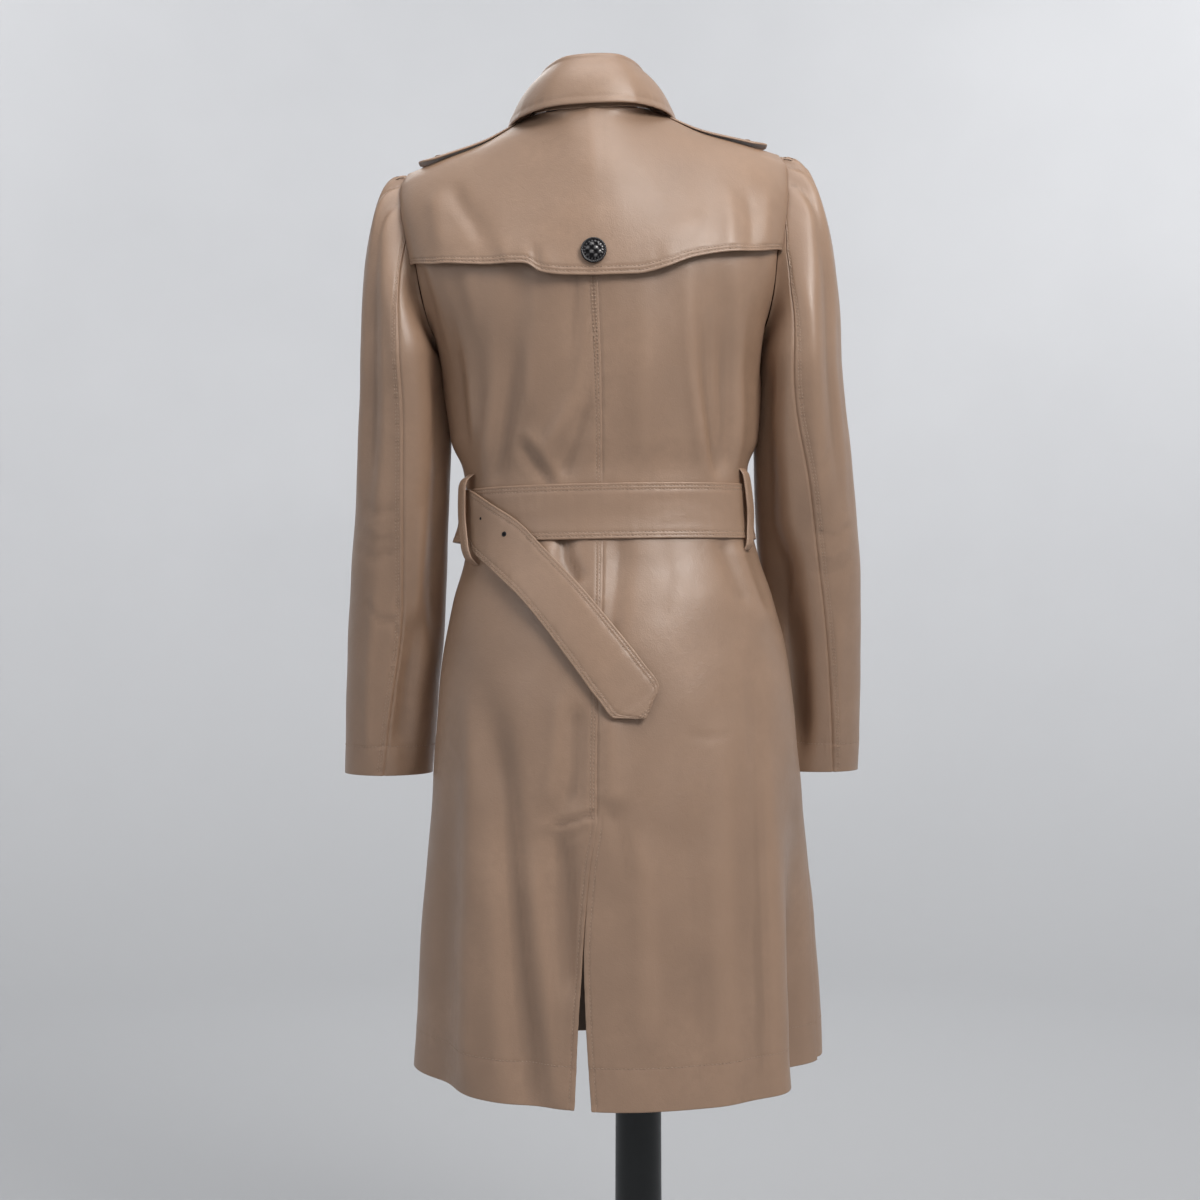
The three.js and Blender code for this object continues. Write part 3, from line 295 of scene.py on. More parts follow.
WAVES = [(0.031, 0.012, 0.044, 0.4), (-0.022, 0.037, 0.029, 1.9), (0.052, -0.041, 0.013, 3.1),
         (0.017, 0.063, -0.036, 4.4), (-0.071, 0.022, 0.058, 5.2), (0.044, 0.055, 0.081, 0.9)]


def unevenness(point, depth=0.55):
    """Soft ups and downs all over the cloth: six plane waves of different lengths, added up."""
    total = sum(np.sin(point[..., 0] * u + point[..., 1] * v + point[..., 2] * w + phase)
                for u, v, w, phase in WAVES)
    return depth * total / 3


def pucker(along, away, reach=5.0, depth=0.28):
    """Thread draws leather into small waves beside a seam; they die out over the reach."""
    wave = np.sin(along * 0.71) + 0.6 * np.sin(along * 0.43 + 1.3) + 0.5 * np.sin(along * 1.13 + 0.4)
    return depth * wave * np.exp(-((away / reach) ** 2))


def groove(away, depth=0.55, width=1.1):
    """A line of stitches presses a narrow channel into the leather."""
    return -depth * np.exp(-((away / width) ** 2))


BACK_CREASES = [
    (7, -3.5, [(228, 1253), (219, 1216), (209, 1179), (184, 1128)]),
    (7, -2.6, [(183, 1245), (183, 1175), (180, 1121), (174, 1046)]),
    (7, 2.6, [(166, 1242), (168, 1182), (170, 1114), (167, 1045)]),
    (9, -3.2, [(114, 1250), (119, 1159), (133, 1087), (146, 1004)]),
    (8, 2.2, [(132, 1240), (141, 1151), (153, 1074), (160, 1005)]),
    (7, 1.6, [(101, 1240), (105, 1159), (115, 1085)]),
    (6, -3, [(62, 1240), (63, 1158), (71, 1117)]),
    (6, 2.2, [(51, 1183), (63, 1105), (88, 1063), (101, 1034)]),
    (8, -2.2, [(46, 1105), (62, 1061), (82, 1012)]),
    (7, 1.5, [(117, 1076), (95, 1047), (70, 1012)]),
    (7, -1.5, [(124, 1066), (102, 1036), (84, 1010)]),
    (1.8, -0.6, [(105, 1105), (79, 1106), (46, 1103)]),
    (1.8, -0.6, [(34, 1102), (15, 1100), (-27, 1095)]),
    (1.8, -0.5, [(30, 1139), (1, 1121), (-27, 1108)]),
    (8, 2.6, [(-45, 1245), (-47, 1169), (-56, 1102), (-68, 1013)]),
    (7, -2.6, [(-57, 1240), (-59, 1160), (-70, 1083), (-79, 1010)]),
    (8, 3.2, [(-94, 1252), (-97, 1164), (-100, 1085), (-94, 1012)]),
    (8, -3, [(-77, 1245), (-82, 1162), (-84, 1093), (-83, 1014)]),
    (4, -1.6, [(-113, 1250), (-132, 1228), (-147, 1208)]),
    (4, -1.4, [(-118, 1238), (-137, 1216), (-141, 1180)]),
    (14, 1.6, [(1, 1226), (-4, 1120), (0, 1022)]),
    (10, 1.8, [(20, 1231), (25, 1157)]),
    (8, 3.5, [(93, 975), (89, 938), (77, 913), (56, 898)]),
    (9, -4, [(78, 980), (74, 942), (60, 915)]),
    (13, 4, [(170, 833), (167, 744), (168, 656), (172, 558), (169, 380)]),
    (17, -6, [(150, 824), (134, 708), (125, 612), (117, 517), (103, 380)]),
    (14, 4, [(112, 671), (98, 566), (86, 473), (76, 380)]),
    (10, -3, [(79, 692), (73, 615), (71, 509)]),
    (9, -2, [(62, 807), (64, 739), (69, 696)]),
    (10, 1.6, [(77, 826), (84, 748), (92, 690)]),
    (13, 2.5, [(31, 802), (28, 739), (28, 696)]),
    (9, -1.2, [(31, 712), (19, 673), (7, 620)]),
    (18, 2.5, [(3, 693), (-6, 587), (-8, 454)]),
    (16, -2, [(-46, 730), (-52, 614), (-56, 519), (-62, 380)]),
    (16, 2, [(-78, 806), (-83, 689), (-86, 564), (-91, 380)]),
    (10, -2, [(-111, 883), (-115, 745), (-117, 609), (-119, 400)]),
    (9, -2.2, [(-80, 972), (-95, 928), (-110, 893)]),
    (10, 1.7, [(-94, 972), (-112, 923), (-129, 868)]),
    (9, -2.0, [(-106, 970), (-121, 929), (-137, 890)]),
    (8, -0.6, [(-23, 972), (-27, 923), (-17, 873)]),
    (10, -2.5, [(17, 972), (24, 913), (31, 854)]),
    (3, -0.5, [(-42, 775), (-62, 769), (-88, 770)])]
# On the sides and fronts a path is given by its angle round the coat, in degrees, and its level
FRONT_CREASES = [
    (4, -3.0, [(112, 1240), (114, 1120), (120, 1005)]), (4, 2.2, [(124, 1230), (127, 1110), (131, 1005)]),
    (5, 2.4, [(146, 1190), (150, 1110), (149, 1005)]), (4, -2.6, [(138, 1160), (141, 1085), (142, 1003)]),
    (4, -2.8, [(-113, 1235), (-117, 1120), (-121, 1004)]),
    (5, 2.4, [(-127, 1210), (-130, 1110), (-134, 1005)]),
    (4, -2.2, [(-144, 1150), (-147, 1080), (-146, 1003)]),
    (5, 2.0, [(-162, 1110), (-160, 1060), (-158, 1003)]),
    (4, -3.0, [(130, 978), (127, 925), (121, 850)]), (4, 2.6, [(138, 978), (137, 915), (133, 830)]),
    (4, -2.4, [(152, 978), (150, 920), (147, 860)]), (4, 2.4, [(-131, 978), (-128, 915), (-123, 845)]),
    (4, -2.8, [(-140, 978), (-138, 910), (-133, 820)]), (4, -2.2, [(-158, 978), (-156, 925), (-153, 865)]),
    (6, 3.0, [(132, 760), (134, 620), (136, 380)]), (6, -3.0, [(160, 780), (158, 620), (161, 380)]),
    (6, 3.0, [(-122, 790), (-120, 630), (-121, 380)]), (6, -2.6, [(-147, 760), (-150, 600), (-146, 380)]),
    (1, -0.7, [(118, 1090), (126, 1086), (133, 1090)]), (1, -0.7, [(-120, 1070), (-128, 1074), (-136, 1069)])]
CREASE_GAIN = table("z gain", [[417, 1.5], [900, 1.5], [1000, 1.6], [1400, 1.6]])
HEM_STITCH = 40.0
SEAM_STITCHES = (3.0, 6.2)
EDGE_STITCH = 4.5
VENT_TOP_Z = 692.0


def angle_of(x, z):
    """The angle whose point stands this width from the middle."""
    return np.degrees(np.arcsin(power(x / read(BODY, "half", z), read(BODY, "square", z) / 2)))


def pressed(base, height):
    """How free the cloth is to swell: not under the belt, and not under the storm flap."""
    under_belt = (smooth(BELT_LOW_Z - 14, BELT_LOW_Z, height)
                  * (1 - smooth(BELT_HIGH_Z, BELT_HIGH_Z + 14, height)))
    under_flap = smooth(1208, 1238, base[..., 2])
    return (1 - 0.9 * under_belt) * (1 - under_flap)


def back_edge(side, height):
    """The angle of one back's centre edge, and how many millimetres a degree is there."""
    level = np.minimum(height, UNDERARM_Z)
    angle = angle_of(read(CENTRE_BACK, "left" if side > 0 else "right", level), level)
    scale = np.linalg.norm(body_point(angle + 2, height) - body_point(angle - 2, height), axis=-1) / 4
    return angle, scale


def blouse(angle, z):
    """Above the belt the side of the coat bags out against the sleeve."""
    beside = np.exp(-(((np.abs(angle) - 90) / 16) ** 2))
    return 5.5 * beside * smooth(1040, 1070, z) * (1 - smooth(1125, 1165, z))


def back_surface(side, angle, height, lift):
    """The body moved out by its creases, its seam and hem channels, puckers and unevenness."""
    angle, height = np.broadcast_arrays(np.asarray(angle, float), np.asarray(height, float))
    base = body_point(angle, height)
    free = pressed(base, height)
    out = crease(base[..., 0], base[..., 2], BACK_CREASES) * (1 - smooth(70, 88, np.abs(angle)))
    out = out * read(CREASE_GAIN, "gain", base[..., 2]) + blouse(angle, base[..., 2])
    out = np.where(out > 0, out * free, out) + unevenness(base) * free
    edge, scale = back_edge(side, height)
    away = np.abs(angle - edge) * scale
    is_seam = smooth(VENT_TOP_Z - 4, VENT_TOP_Z + 4, height) * free
    seam = groove(away, 0.9, 1.6) + pucker(height, away)
    if side > 0:
        seam = seam + groove(away - SEAM_STITCHES[0]) + groove(away - SEAM_STITCHES[1])
        patch = near([(angle_of(22.0, 690.0), 698), (angle_of(62.0, 690.0), 685)], angle, height)[0]
        out = out + (groove(patch, 2.0, 1.5) + 0.7 * np.exp(-(((patch - 4) / 2.5) ** 2))) * (height < 710)
    vent = groove(away - EDGE_STITCH) + pucker(height * 0.6, away, 7, 0.22)
    out = out + seam * is_seam + vent * (1 - is_seam) * (height < VENT_TOP_Z)
    above_hem = height - HEM_Z
    out = out + groove(above_hem - HEM_STITCH, 0.22, 1.6) * (height < 480)
    out = out + pucker(angle * 2.6, above_hem - HEM_STITCH, 9, 0.2) * (height < 500)
    return body_offset(angle, height, out + lift)


print("a crease is deepest on its path", crease(np.array([0.0, 5.0]), np.array([50.0, 50.0]),
                                               [(5, -2, [(0, 0), (0, 100)])]).round(2))

# %% [markdown]
# ## From a surface to a leather shell
# A cut edge of such a coat is folded in, glued and stitched, so it looks full and round. Solidify
# would leave it square. Here the outer and the inner grid are joined by a half-round strip that
# runs all the way round the piece, and the whole is one closed mesh.

# %% Shells and stitches
EDGE_ROUNDS = np.radians([30, 60, 90, 120, 150])


def border(rows, columns):
    """The corner-to-corner loop of a grid's rim, as row and column numbers."""
    top = [(0, j) for j in range(columns)]
    right = [(i, columns - 1) for i in range(1, rows)]
    low = [(rows - 1, j) for j in range(columns - 2, -1, -1)]
    left = [(i, 0) for i in range(rows - 2, 0, -1)]
    return np.array(top + right + low + left).T


def strip(first, second):
    """Four-sided faces between two loops of vertex numbers."""
    return np.stack([first, np.roll(first, -1), np.roll(second, -1), second], -1)


def write_mesh(name, points, faces, materials, slots=None, crease_value=None, is_closed=True):
    """Puts millimetre points and faces into a mesh in metres, facing out, and into the scene."""
    faces = np.asarray(faces)
    points = points / 1000
    if is_closed:
        a, b, c = (points[faces[:, k]] for k in (0, 1, 2))
        d = points[faces[:, -1]]
        volume = np.einsum("ij,ij->", a, np.cross(b, c)) + np.einsum("ij,ij->", a, np.cross(c, d))
        faces = faces if volume > 0 else faces[:, ::-1]
    mesh = bpy.data.meshes.new(name)
    mesh.from_pydata(points, [], faces.tolist())
    mesh.validate()
    mesh.polygons.foreach_set("use_smooth", np.ones(len(mesh.polygons), bool))
    for material in materials:
        mesh.materials.append(material)
    if slots is not None and len(slots) == len(mesh.polygons):
        mesh.polygons.foreach_set("material_index", np.asarray(slots, np.int32))
    if crease_value is not None:
        layer = mesh.attributes.new("wear", "FLOAT", "POINT")
        layer.data.foreach_set("value", np.asarray(crease_value, np.float32))
    piece = bpy.data.objects.new(name, mesh)
    bpy.context.scene.collection.objects.link(piece)
    return piece


def shell(name, outer, inner, materials, is_lined=True):
    """Outer grid, inner grid, and between their rims a half circle: middle plus spread times cosine
    plus bulge times sine."""
    rows, columns = outer.shape[:2]
    count = rows * columns
    number = np.arange(count).reshape(rows, columns)
    face = np.stack([number[:-1, :-1], number[:-1, 1:], number[1:, 1:], number[1:, :-1]], -1).reshape(-1, 4)
    i, j = border(rows, columns)
    rim, under = outer[i, j], inner[i, j]
    inwards = outer[np.clip(i, 1, rows - 2), np.clip(j, 1, columns - 2)]
    bulge = unit(rim - inwards) * np.linalg.norm(rim - under, axis=-1, keepdims=True) * 0.5
    middle, spread = (rim + under) / 2, (rim - under) / 2
    rings = [middle + spread * np.cos(t) + bulge * np.sin(t) for t in EDGE_ROUNDS]
    loops = [number[i, j]] + [2 * count + k * len(i) + np.arange(len(i)) for k in range(len(rings))]
    loops.append(number[i, j] + count)
    sides = [strip(first, second) for first, second in zip(loops[:-1], loops[1:])]
    faces = np.concatenate([face, face[:, ::-1] + count] + [s[:, ::-1] for s in sides])
    points = np.concatenate([outer.reshape(-1, 3), inner.reshape(-1, 3)] + rings)
    slots = np.zeros(len(faces), int)
    # inner faces take the second material; where that is the dark lining, it paints the shade inside the coat
    if is_lined:
        slots[len(face):2 * len(face)] = 1
    return write_mesh(name, points, faces, materials, slots, wear(outer, len(i), len(rings)))


def wear(outer, columns, rings):
    """How far each point stands above the mean of its wider neighbourhood, plus the rim's rub. The leather
    paints hollows darker as shade, and high parts and the rim paler as rub.
    """
    smooth_grid = outer.copy()
    for _ in range(4):
        padded = np.pad(smooth_grid, ((1, 1), (1, 1), (0, 0)), "edge")
        smooth_grid = (padded[:-2, 1:-1] + padded[2:, 1:-1] + padded[1:-1, :-2] + padded[1:-1, 2:]) / 4
    across = np.gradient(smooth_grid, axis=1)
    along = np.gradient(smooth_grid, axis=0)
    normal = unit(np.cross(across, along))
    height = np.einsum("ijk,ijk->ij", outer - smooth_grid, normal)
    centre = outer.mean(axis=(0, 1))
    height *= np.sign(np.einsum("ijk,ijk->", normal, outer - centre)) or 1
    height[[0, -1]] = height[[1, -2]]
    height[:, [0, -1]] = height[:, [1, -2]]
    # painted shade and rub: negative values in hollows and stitch grooves darken the leather as shade;
    # positive values and the rim's 0.6 make it paler as rub
    value = np.clip(height / 0.8, -1, 1)
    return np.concatenate([value.ravel(), np.zeros(value.size), np.full(rings * columns, 0.6)])


STITCH_PITCH = 3.7
STITCH_HALF = 1.4
RING_TURN = np.radians([45, 135, 225, 315])
TIPS = np.array([[-1.0, 0.0, -0.25], [1.0, 0.0, -0.25]])


def stitch_path(surface, a, b):
    """Spaces stitches evenly along a path on a surface: centre, direction and outward normal."""
    a, b = np.broadcast_arrays(np.asarray(a, float), np.asarray(b, float))
    track = surface(a, b, 0.0)
    length = np.concatenate([[0], np.cumsum(np.linalg.norm(np.diff(track, axis=0), axis=-1))])
    at = np.arange(STITCH_PITCH / 2, length[-1] - STITCH_PITCH / 4, STITCH_PITCH)
    if not len(at):
        return np.zeros((0, 3)), np.zeros((0, 3)), np.zeros((0, 3))

    def spot(where, lift=0.0):
        return surface(np.interp(where, length, a), np.interp(where, length, b), lift)

    centre = spot(at)
    heading = unit(spot(np.minimum(at + STITCH_HALF, length[-1])) - spot(np.maximum(at - STITCH_HALF, 0)))
    return centre, heading, unit(spot(at, 1.0) - centre)


def stitches(name, paths, material, radius=0.48):
    """Each stitch is a spindle: two sunk tips and three square rings along its heading."""
    centre, heading, normal = (np.concatenate([path[k] for path in paths]) for k in range(3))
    beside = unit(np.cross(heading, normal))
    rings = []
    for share, size, lift in ((-0.72, 0.8, 0.0), (0, 1.0, 0.12), (0.72, 0.8, 0.0)):
        for turn in RING_TURN:
            rings.append(centre + heading * share * STITCH_HALF + beside * radius * size * np.cos(turn)
                         + normal * (radius * size * np.sin(turn) + lift))
    for share, _, lift in TIPS:
        rings.append(centre + heading * share * STITCH_HALF + normal * lift)
    points = np.stack(rings, 1)
    k = np.arange(4)
    nxt = (k + 1) % 4
    quads = np.concatenate([
        np.stack([k + 4 * r, nxt + 4 * r, nxt + 4 * r + 4, k + 4 * r + 4], -1) for r in (0, 1)])
    caps = np.concatenate([np.stack([nxt, k, k * 0 + 12, k * 0 + 12], -1),
                           np.stack([k + 8, nxt + 8, k * 0 + 13, k * 0 + 13], -1)])
    faces = np.concatenate([quads, caps])
    count = points.shape[1]
    faces = (faces[None] + np.arange(len(points))[:, None, None] * count).reshape(-1, 4)
    vertices = points.reshape(-1, 3) / 1000
    mesh = bpy.data.meshes.new(name)
    flat = [tuple(dict.fromkeys(row)) for row in faces.tolist()]
    mesh.from_pydata(vertices, [], flat)
    mesh.polygons.foreach_set("use_smooth", np.ones(len(mesh.polygons), bool))
    mesh.materials.append(material)
    piece = bpy.data.objects.new(name, mesh)
    bpy.context.scene.collection.objects.link(piece)
    print(name, len(points), "stitches")
    return piece


# %% [markdown]
# ## Leather
# Dyed nappa leather is nearly even in colour, a little paler where it is rubbed, with a fine pebble that
# breaks up the gloss. Its creases and stitch grooves are painted darker as shade. An image would do it, but
# noise on the object's own coordinates has the same scale on every piece and needs no file.

# %% Material helpers
def node(tree, kind, values=None, **settings):
    """Adds a shader node, sets its options and its plain input values."""
    made = tree.nodes.new(kind)
    for name, value in settings.items():
        setattr(made, name, value)
    for name, value in (values or {}).items():
        made.inputs[name].default_value = value
    return made


def start_material(name):
    """A material with a Principled shader, and the object's own coordinates."""
    material = bpy.data.materials.new(name)
    material.use_nodes = True
    tree = material.node_tree
    tree.nodes.clear()
    output = node(tree, "ShaderNodeOutputMaterial")
    shader = node(tree, "ShaderNodeBsdfPrincipled")
    tree.links.new(shader.outputs[0], output.inputs[0])
    return material, tree, shader, node(tree, "ShaderNodeTexCoord").outputs["Object"]


def noise(tree, where, scale, detail=4.0, roughness=0.55, distortion=0.0):
    made = node(tree, "ShaderNodeTexNoise", {"Scale": scale, "Detail": detail, "Roughness": roughness,
                                             "Distortion": distortion})
    tree.links.new(where, made.inputs["Vector"])
    return made.outputs[0]


def blend(tree, factor, first, second, low=0.0, high=1.0):
    """Mixes two colours by a factor that is first stretched from the range low to high."""
    stretch = node(tree, "ShaderNodeMapRange", {"From Min": low, "From Max": high})
    tree.links.new(factor, stretch.inputs["Value"])
    mix = node(tree, "ShaderNodeMix", data_type="RGBA")
    tree.links.new(stretch.outputs[0], mix.inputs["Factor"])
    for socket, value in ((mix.inputs["A"], first), (mix.inputs["B"], second)):
        if isinstance(value, tuple):
            socket.default_value = (*value, 1.0)
        else:
            tree.links.new(value, socket)
    return mix.outputs["Result"]


def ranged(tree, value, low, high, to_low, to_high):
    """A number carried from one range to another."""
    made = node(tree, "ShaderNodeMapRange", {"From Min": low, "From Max": high, "To Min": to_low,
                                             "To Max": to_high})
    tree.links.new(value, made.inputs["Value"])
    return made.outputs[0]


def add_bumps(tree, shader, bumps):
    """Chains bumps, given as height, strength and distance in metres, into the shader's normal."""
    normal = None
    for height, strength, distance in bumps:
        bump = node(tree, "ShaderNodeBump", {"Strength": strength, "Distance": distance})
        tree.links.new(height, bump.inputs["Height"])
        if normal is not None:
            tree.links.new(normal, bump.inputs["Normal"])
        normal = bump.outputs[0]
    tree.links.new(normal, shader.inputs["Normal"])


def leather(name, colour, gloss):
    """Colour: large clouds, small mottling, paler rub on high parts and painted shade in creases. Gloss:
    rougher in
    rubbed patches. Bump: wrinkles and pebbled grain."""
    material, tree, shader, where = start_material(name)
    dark = tuple(c * 0.86 for c in colour)
    pale = tuple(min(1, c * 1.10) for c in colour)
    clouds = blend(tree, noise(tree, where, 11, 3), dark, pale, 0.25, 0.75)
    mottled = blend(tree, noise(tree, where, 95, 5, 0.65), tuple(c * 0.93 for c in colour), clouds, 0.2, 0.6)
    rub_and_crease_shade_factor = node(tree, "ShaderNodeAttribute", attribute_name="wear").outputs["Fac"]
    # painted shade: hollows and stitch grooves are darkened to 0.82 of the colour, for the shade that falls
    # in them
    deep = blend(tree, rub_and_crease_shade_factor, tuple(c * 0.82 for c in colour), mottled, -1.15, -0.45)
    # rub: high parts and rims are made a little paler
    rubbed = blend(tree, rub_and_crease_shade_factor, deep, tuple(min(1, c * 1.12) for c in colour), 0.2, 1.9)
    tree.links.new(rubbed, shader.inputs["Base Color"])
    cells = node(tree, "ShaderNodeTexVoronoi", {"Scale": 820.0, "Randomness": 1.0})
    tree.links.new(where, cells.inputs["Vector"])
    wrinkles = noise(tree, where, 130, 6, 0.6, 0.8)
    patches = noise(tree, where, 24, 4, 0.6)
    rough = ranged(tree, patches, 0.3, 0.7, gloss - 0.04, gloss + 0.07)
    tree.links.new(rough, shader.inputs["Roughness"])
    shader.inputs["Specular IOR Level"].default_value = 0.72
    add_bumps(tree, shader, [(wrinkles, 0.30, 0.0008), (cells.outputs["Distance"], 0.35, 0.00022)])
    return material


LEATHER_COLOUR = (0.345, 0.218, 0.144)
LEATHER = leather("taupe_leather", LEATHER_COLOUR, 0.425)
BELT_LEATHER = leather("belt_leather", tuple(c * 1.04 for c in LEATHER_COLOUR), 0.43)


def shade_dark_lining_material():
    """Smooth viscose satin: a fine twill line and a soft sheen, in a very dark brown that paints the shade
    inside the coat.
    """
    material, tree, shader, where = start_material("satin_lining_shade_dark")
    twill = node(tree, "ShaderNodeTexWave", {"Scale": 900.0, "Distortion": 0.4}, bands_direction="DIAGONAL")
    tree.links.new(where, twill.inputs["Vector"])
    # painted shade: the lining's very dark brown stands in for the shade inside the coat; the noise adds
    # random tone
    tone = blend(tree, noise(tree, where, 30, 3), (0.075, 0.045, 0.029), (0.105, 0.064, 0.042), 0.3, 0.7)
    tree.links.new(tone, shader.inputs["Base Color"])
    tree.links.new(ranged(tree, twill.outputs["Fac"], 0, 1, 0.36, 0.48), shader.inputs["Roughness"])
    shader.inputs["Specular IOR Level"].default_value = 0.3
    add_bumps(tree, shader, [(twill.outputs["Fac"], 0.2, 0.0001)])
    return material


def thread_material():
    """Twisted polyester thread, a shade paler than the leather."""
    material, tree, shader, where = start_material("topstitch_thread")
    twist = node(tree, "ShaderNodeTexWave", {"Scale": 1600.0, "Distortion": 0.6}, bands_direction="DIAGONAL")
    tree.links.new(where, twist.inputs["Vector"])
    tone = blend(tree, twist.outputs["Fac"], (0.30, 0.205, 0.145), (0.50, 0.36, 0.265))
    tree.links.new(tone, shader.inputs["Base Color"])
    tree.links.new(ranged(tree, noise(tree, where, 700), 0.3, 0.7, 0.5, 0.7), shader.inputs["Roughness"])
    add_bumps(tree, shader, [(twist.outputs["Fac"], 0.4, 0.0001)])
    return material


SHADE_DARK_LINING = shade_dark_lining_material()
THREAD = thread_material()
print("materials", [m.name for m in (LEATHER, BELT_LEATHER, SHADE_DARK_LINING, THREAD)])

# %% [markdown]
# ## What every cloth piece says
# Each piece rides on the one body of the part and stands for its CAD solid, which it hides. The cut's area
# comes from the pattern, the mesh is measured against it.

# %% Declaring a piece
made = []


def declare(piece, nodes):
    """Rides on the root body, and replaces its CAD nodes."""
    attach(piece, "root")
    if nodes:
        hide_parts(*nodes)
    made.append(piece)
    return piece


def shell_area(piece):
    """Half of a closed shell's area, in square metres."""
    areas = np.empty(len(piece.data.polygons))
    piece.data.polygons.foreach_get("area", areas)
    return areas.sum() / 2


def cloth(piece, node_name, area, thread=()):
    """Declares one cut piece of leather with its stitches."""
    declare(piece, [node_name])
    for row in thread:
        declare(row, [])
    print(piece.name, len(piece.data.polygons), "faces, measured", round(shell_area(piece), 4),
          "m2, cut", area)


# %% [markdown]
# ## The backs
# Two long panels meet at the centre-back seam, which opens into a vent. The mesh has a column at each
# millimetre beside that edge, because seam, stitches and turned edge all lie there, and wide columns
# elsewhere. A diagonal row of stitches holds the top of the vent.

# %% Backs
CLOSE = np.array([0, 0.8, 1.6, 2.4, 3, 3.6, 4.5, 5.4, 6.2, 7, 8.4, 10.2, 12.6, 15.5])
RISE_ROWS = UNDERARM_Z + np.sin(np.radians(np.linspace(2, 90, 38)))
RISE_ROWS[-1] = UNDERARM_Z + 1


def panel_rows(step=4.4):
    """Levels from the hem to the underarm, closer at the hem and its stitches, then the rises."""
    near_hem = np.array([0, 1, 2.2, 4, 7, 11, 15.5, 20, 25, 30, 34.5, 37.5, 39, 40, 41, 42.5, 45.5, 50])
    levels = np.arange(HEM_Z + 54, UNDERARM_Z - 2, step)
    return np.concatenate([HEM_Z + near_hem, levels, [UNDERARM_Z], RISE_ROWS])


def columns_from(edge, scale, far, count, side):
    """Angles of a panel: close columns by their distance from the edge, then even ones to the far
    side."""
    close = edge[:, None] + side * CLOSE[None] / scale[:, None]
    share = np.linspace(0, 1, count + 1)[1:]
    rest = close[:, -1:] + (far - close[:, -1:]) * share
    return np.concatenate([close, rest], 1)


def back_angles(side, height, count=52):
    edge, scale = back_edge(side, height)
    seam = side * SEAM_GAP * 0.75 / scale
    return columns_from(edge + seam, scale, side * (90 - 0.09), count, side)


def relax(points, weight, axis, rounds=60):
    """Moves each point towards the mean of its two neighbours along an axis, again and again."""
    moved = np.moveaxis(points, axis, 0)
    share = 0.5 * np.moveaxis(weight, axis, 0)[1:-1, :, None]
    for _ in range(rounds):
        moved[1:-1] += share * (moved[:-2] + moved[2:] - 2 * moved[1:-1])
    return points


def ease_underarm(points, angle, height):
    """The two kinds of section meet in a slight bend at the underarm, so the rows near it are
    relaxed, but not at the armhole, where the sleeve is sewn on."""
    level = np.where(height > UNDERARM_Z, UNDERARM_Z + (height - UNDERARM_Z) * 215, height)
    free = 1 - smooth(78, 89, np.abs(angle))
    return relax(points, free * np.exp(-(((level - UNDERARM_Z) / 42) ** 2)), 0)


def back_panel(side):
    height = panel_rows()
    angle = back_angles(side, height)
    level = np.repeat(height[:, None], angle.shape[1], 1)
    return [ease_underarm(back_surface(side, angle, level, lift), angle, level) for lift in (0.0, -WALL)]


def back_line(side, distance, low, high):
    """Stitches that keep one distance from the centre-back edge between two levels."""
    height = np.arange(low, high, 2.0)
    edge, scale = back_edge(side, height)
    return stitch_path(lambda a, b, lift: back_surface(side, a, b, lift),
                       edge + side * distance / scale, height)


def back_hem(side):
    angle = np.arange(0, 88, 0.5)
    edge = back_edge(side, np.array([HEM_Z + HEM_STITCH]))[0][0]
    angle = edge + side * angle * (90 - side * edge) / 88
    return stitch_path(lambda a, b, lift: back_surface(side, a, b, lift), angle, HEM_Z + HEM_STITCH)


FLAP_SHADE_Z = 1233.0
for side, hand in ((1, "left"), (-1, "right")):
    outer, inner = back_panel(side)
    piece = shell(f"back_{hand}_leather", outer, inner, [LEATHER, SHADE_DARK_LINING])
    rows = [back_hem(side), back_line(side, EDGE_STITCH, HEM_Z + 3, VENT_TOP_Z - 6)]
    if side > 0:
        low_rise = UNDERARM_Z + (FLAP_SHADE_Z - UNDERARM_Z) / (1392 - UNDERARM_Z)
        for distance in SEAM_STITCHES:
            rows.append(back_line(side, distance, VENT_TOP_Z, UNDERARM_Z))
            height = np.linspace(UNDERARM_Z + 0.001, low_rise, 20)
            edge, scale = back_edge(side, height)
            rows.append(stitch_path(lambda a, b, lift: back_surface(1, a, b, lift),
                                    edge + distance / scale, height))
        x, z = np.linspace(22.5, 61, 20), np.linspace(697.8, 685.3, 20)
        rows.append(stitch_path(lambda a, b, lift: back_surface(1, a, b, lift), angle_of(x, z), z))
    thread = stitches(f"back_{hand}_stitches", rows, THREAD)
    cloth(piece, f"back_{hand}", 0.215, [thread])

# %% [markdown]
# ## The fronts
# Nothing in the picture shows them, so they are plain double-breasted fronts: the right laps over
# the left, the edge turns back above the top button, and two rows of stitches follow the edge.

# %% Fronts
UNDER_DIP = 2 * LAYER + 2
FRONT_STITCHES = (3.0, 8.0)


def roll_z(x):
    """The roll line: straight from the neck point down to the break point past the middle."""
    return NECK_Z - ((NECK_HALF - x) / (NECK_HALF + FRONT_LAP)) * (NECK_Z - BREAK_Z)


def under_dip(x, z):
    """How far the left front lies below the right one, where that laps over it."""
    past = 1 - smooth(FRONT_LAP + 2, FRONT_LAP + 60, x)
    return UNDER_DIP * past * (1 - smooth(16, 90, z - roll_z(-x)))


def front_edge(height):
    """The angle of a front's free edge from its own side, and the millimetres of a degree there."""
    level = np.minimum(height, UNDERARM_Z)
    half = np.where(height > UNDERARM_Z, SHOULDER_HALF, read(BODY, "half", level))
    angle = 180 + np.degrees(np.arcsin((FRONT_LAP / half) ** (read(BODY, "square", level) / 2)))
    return angle, half * math.pi / 180


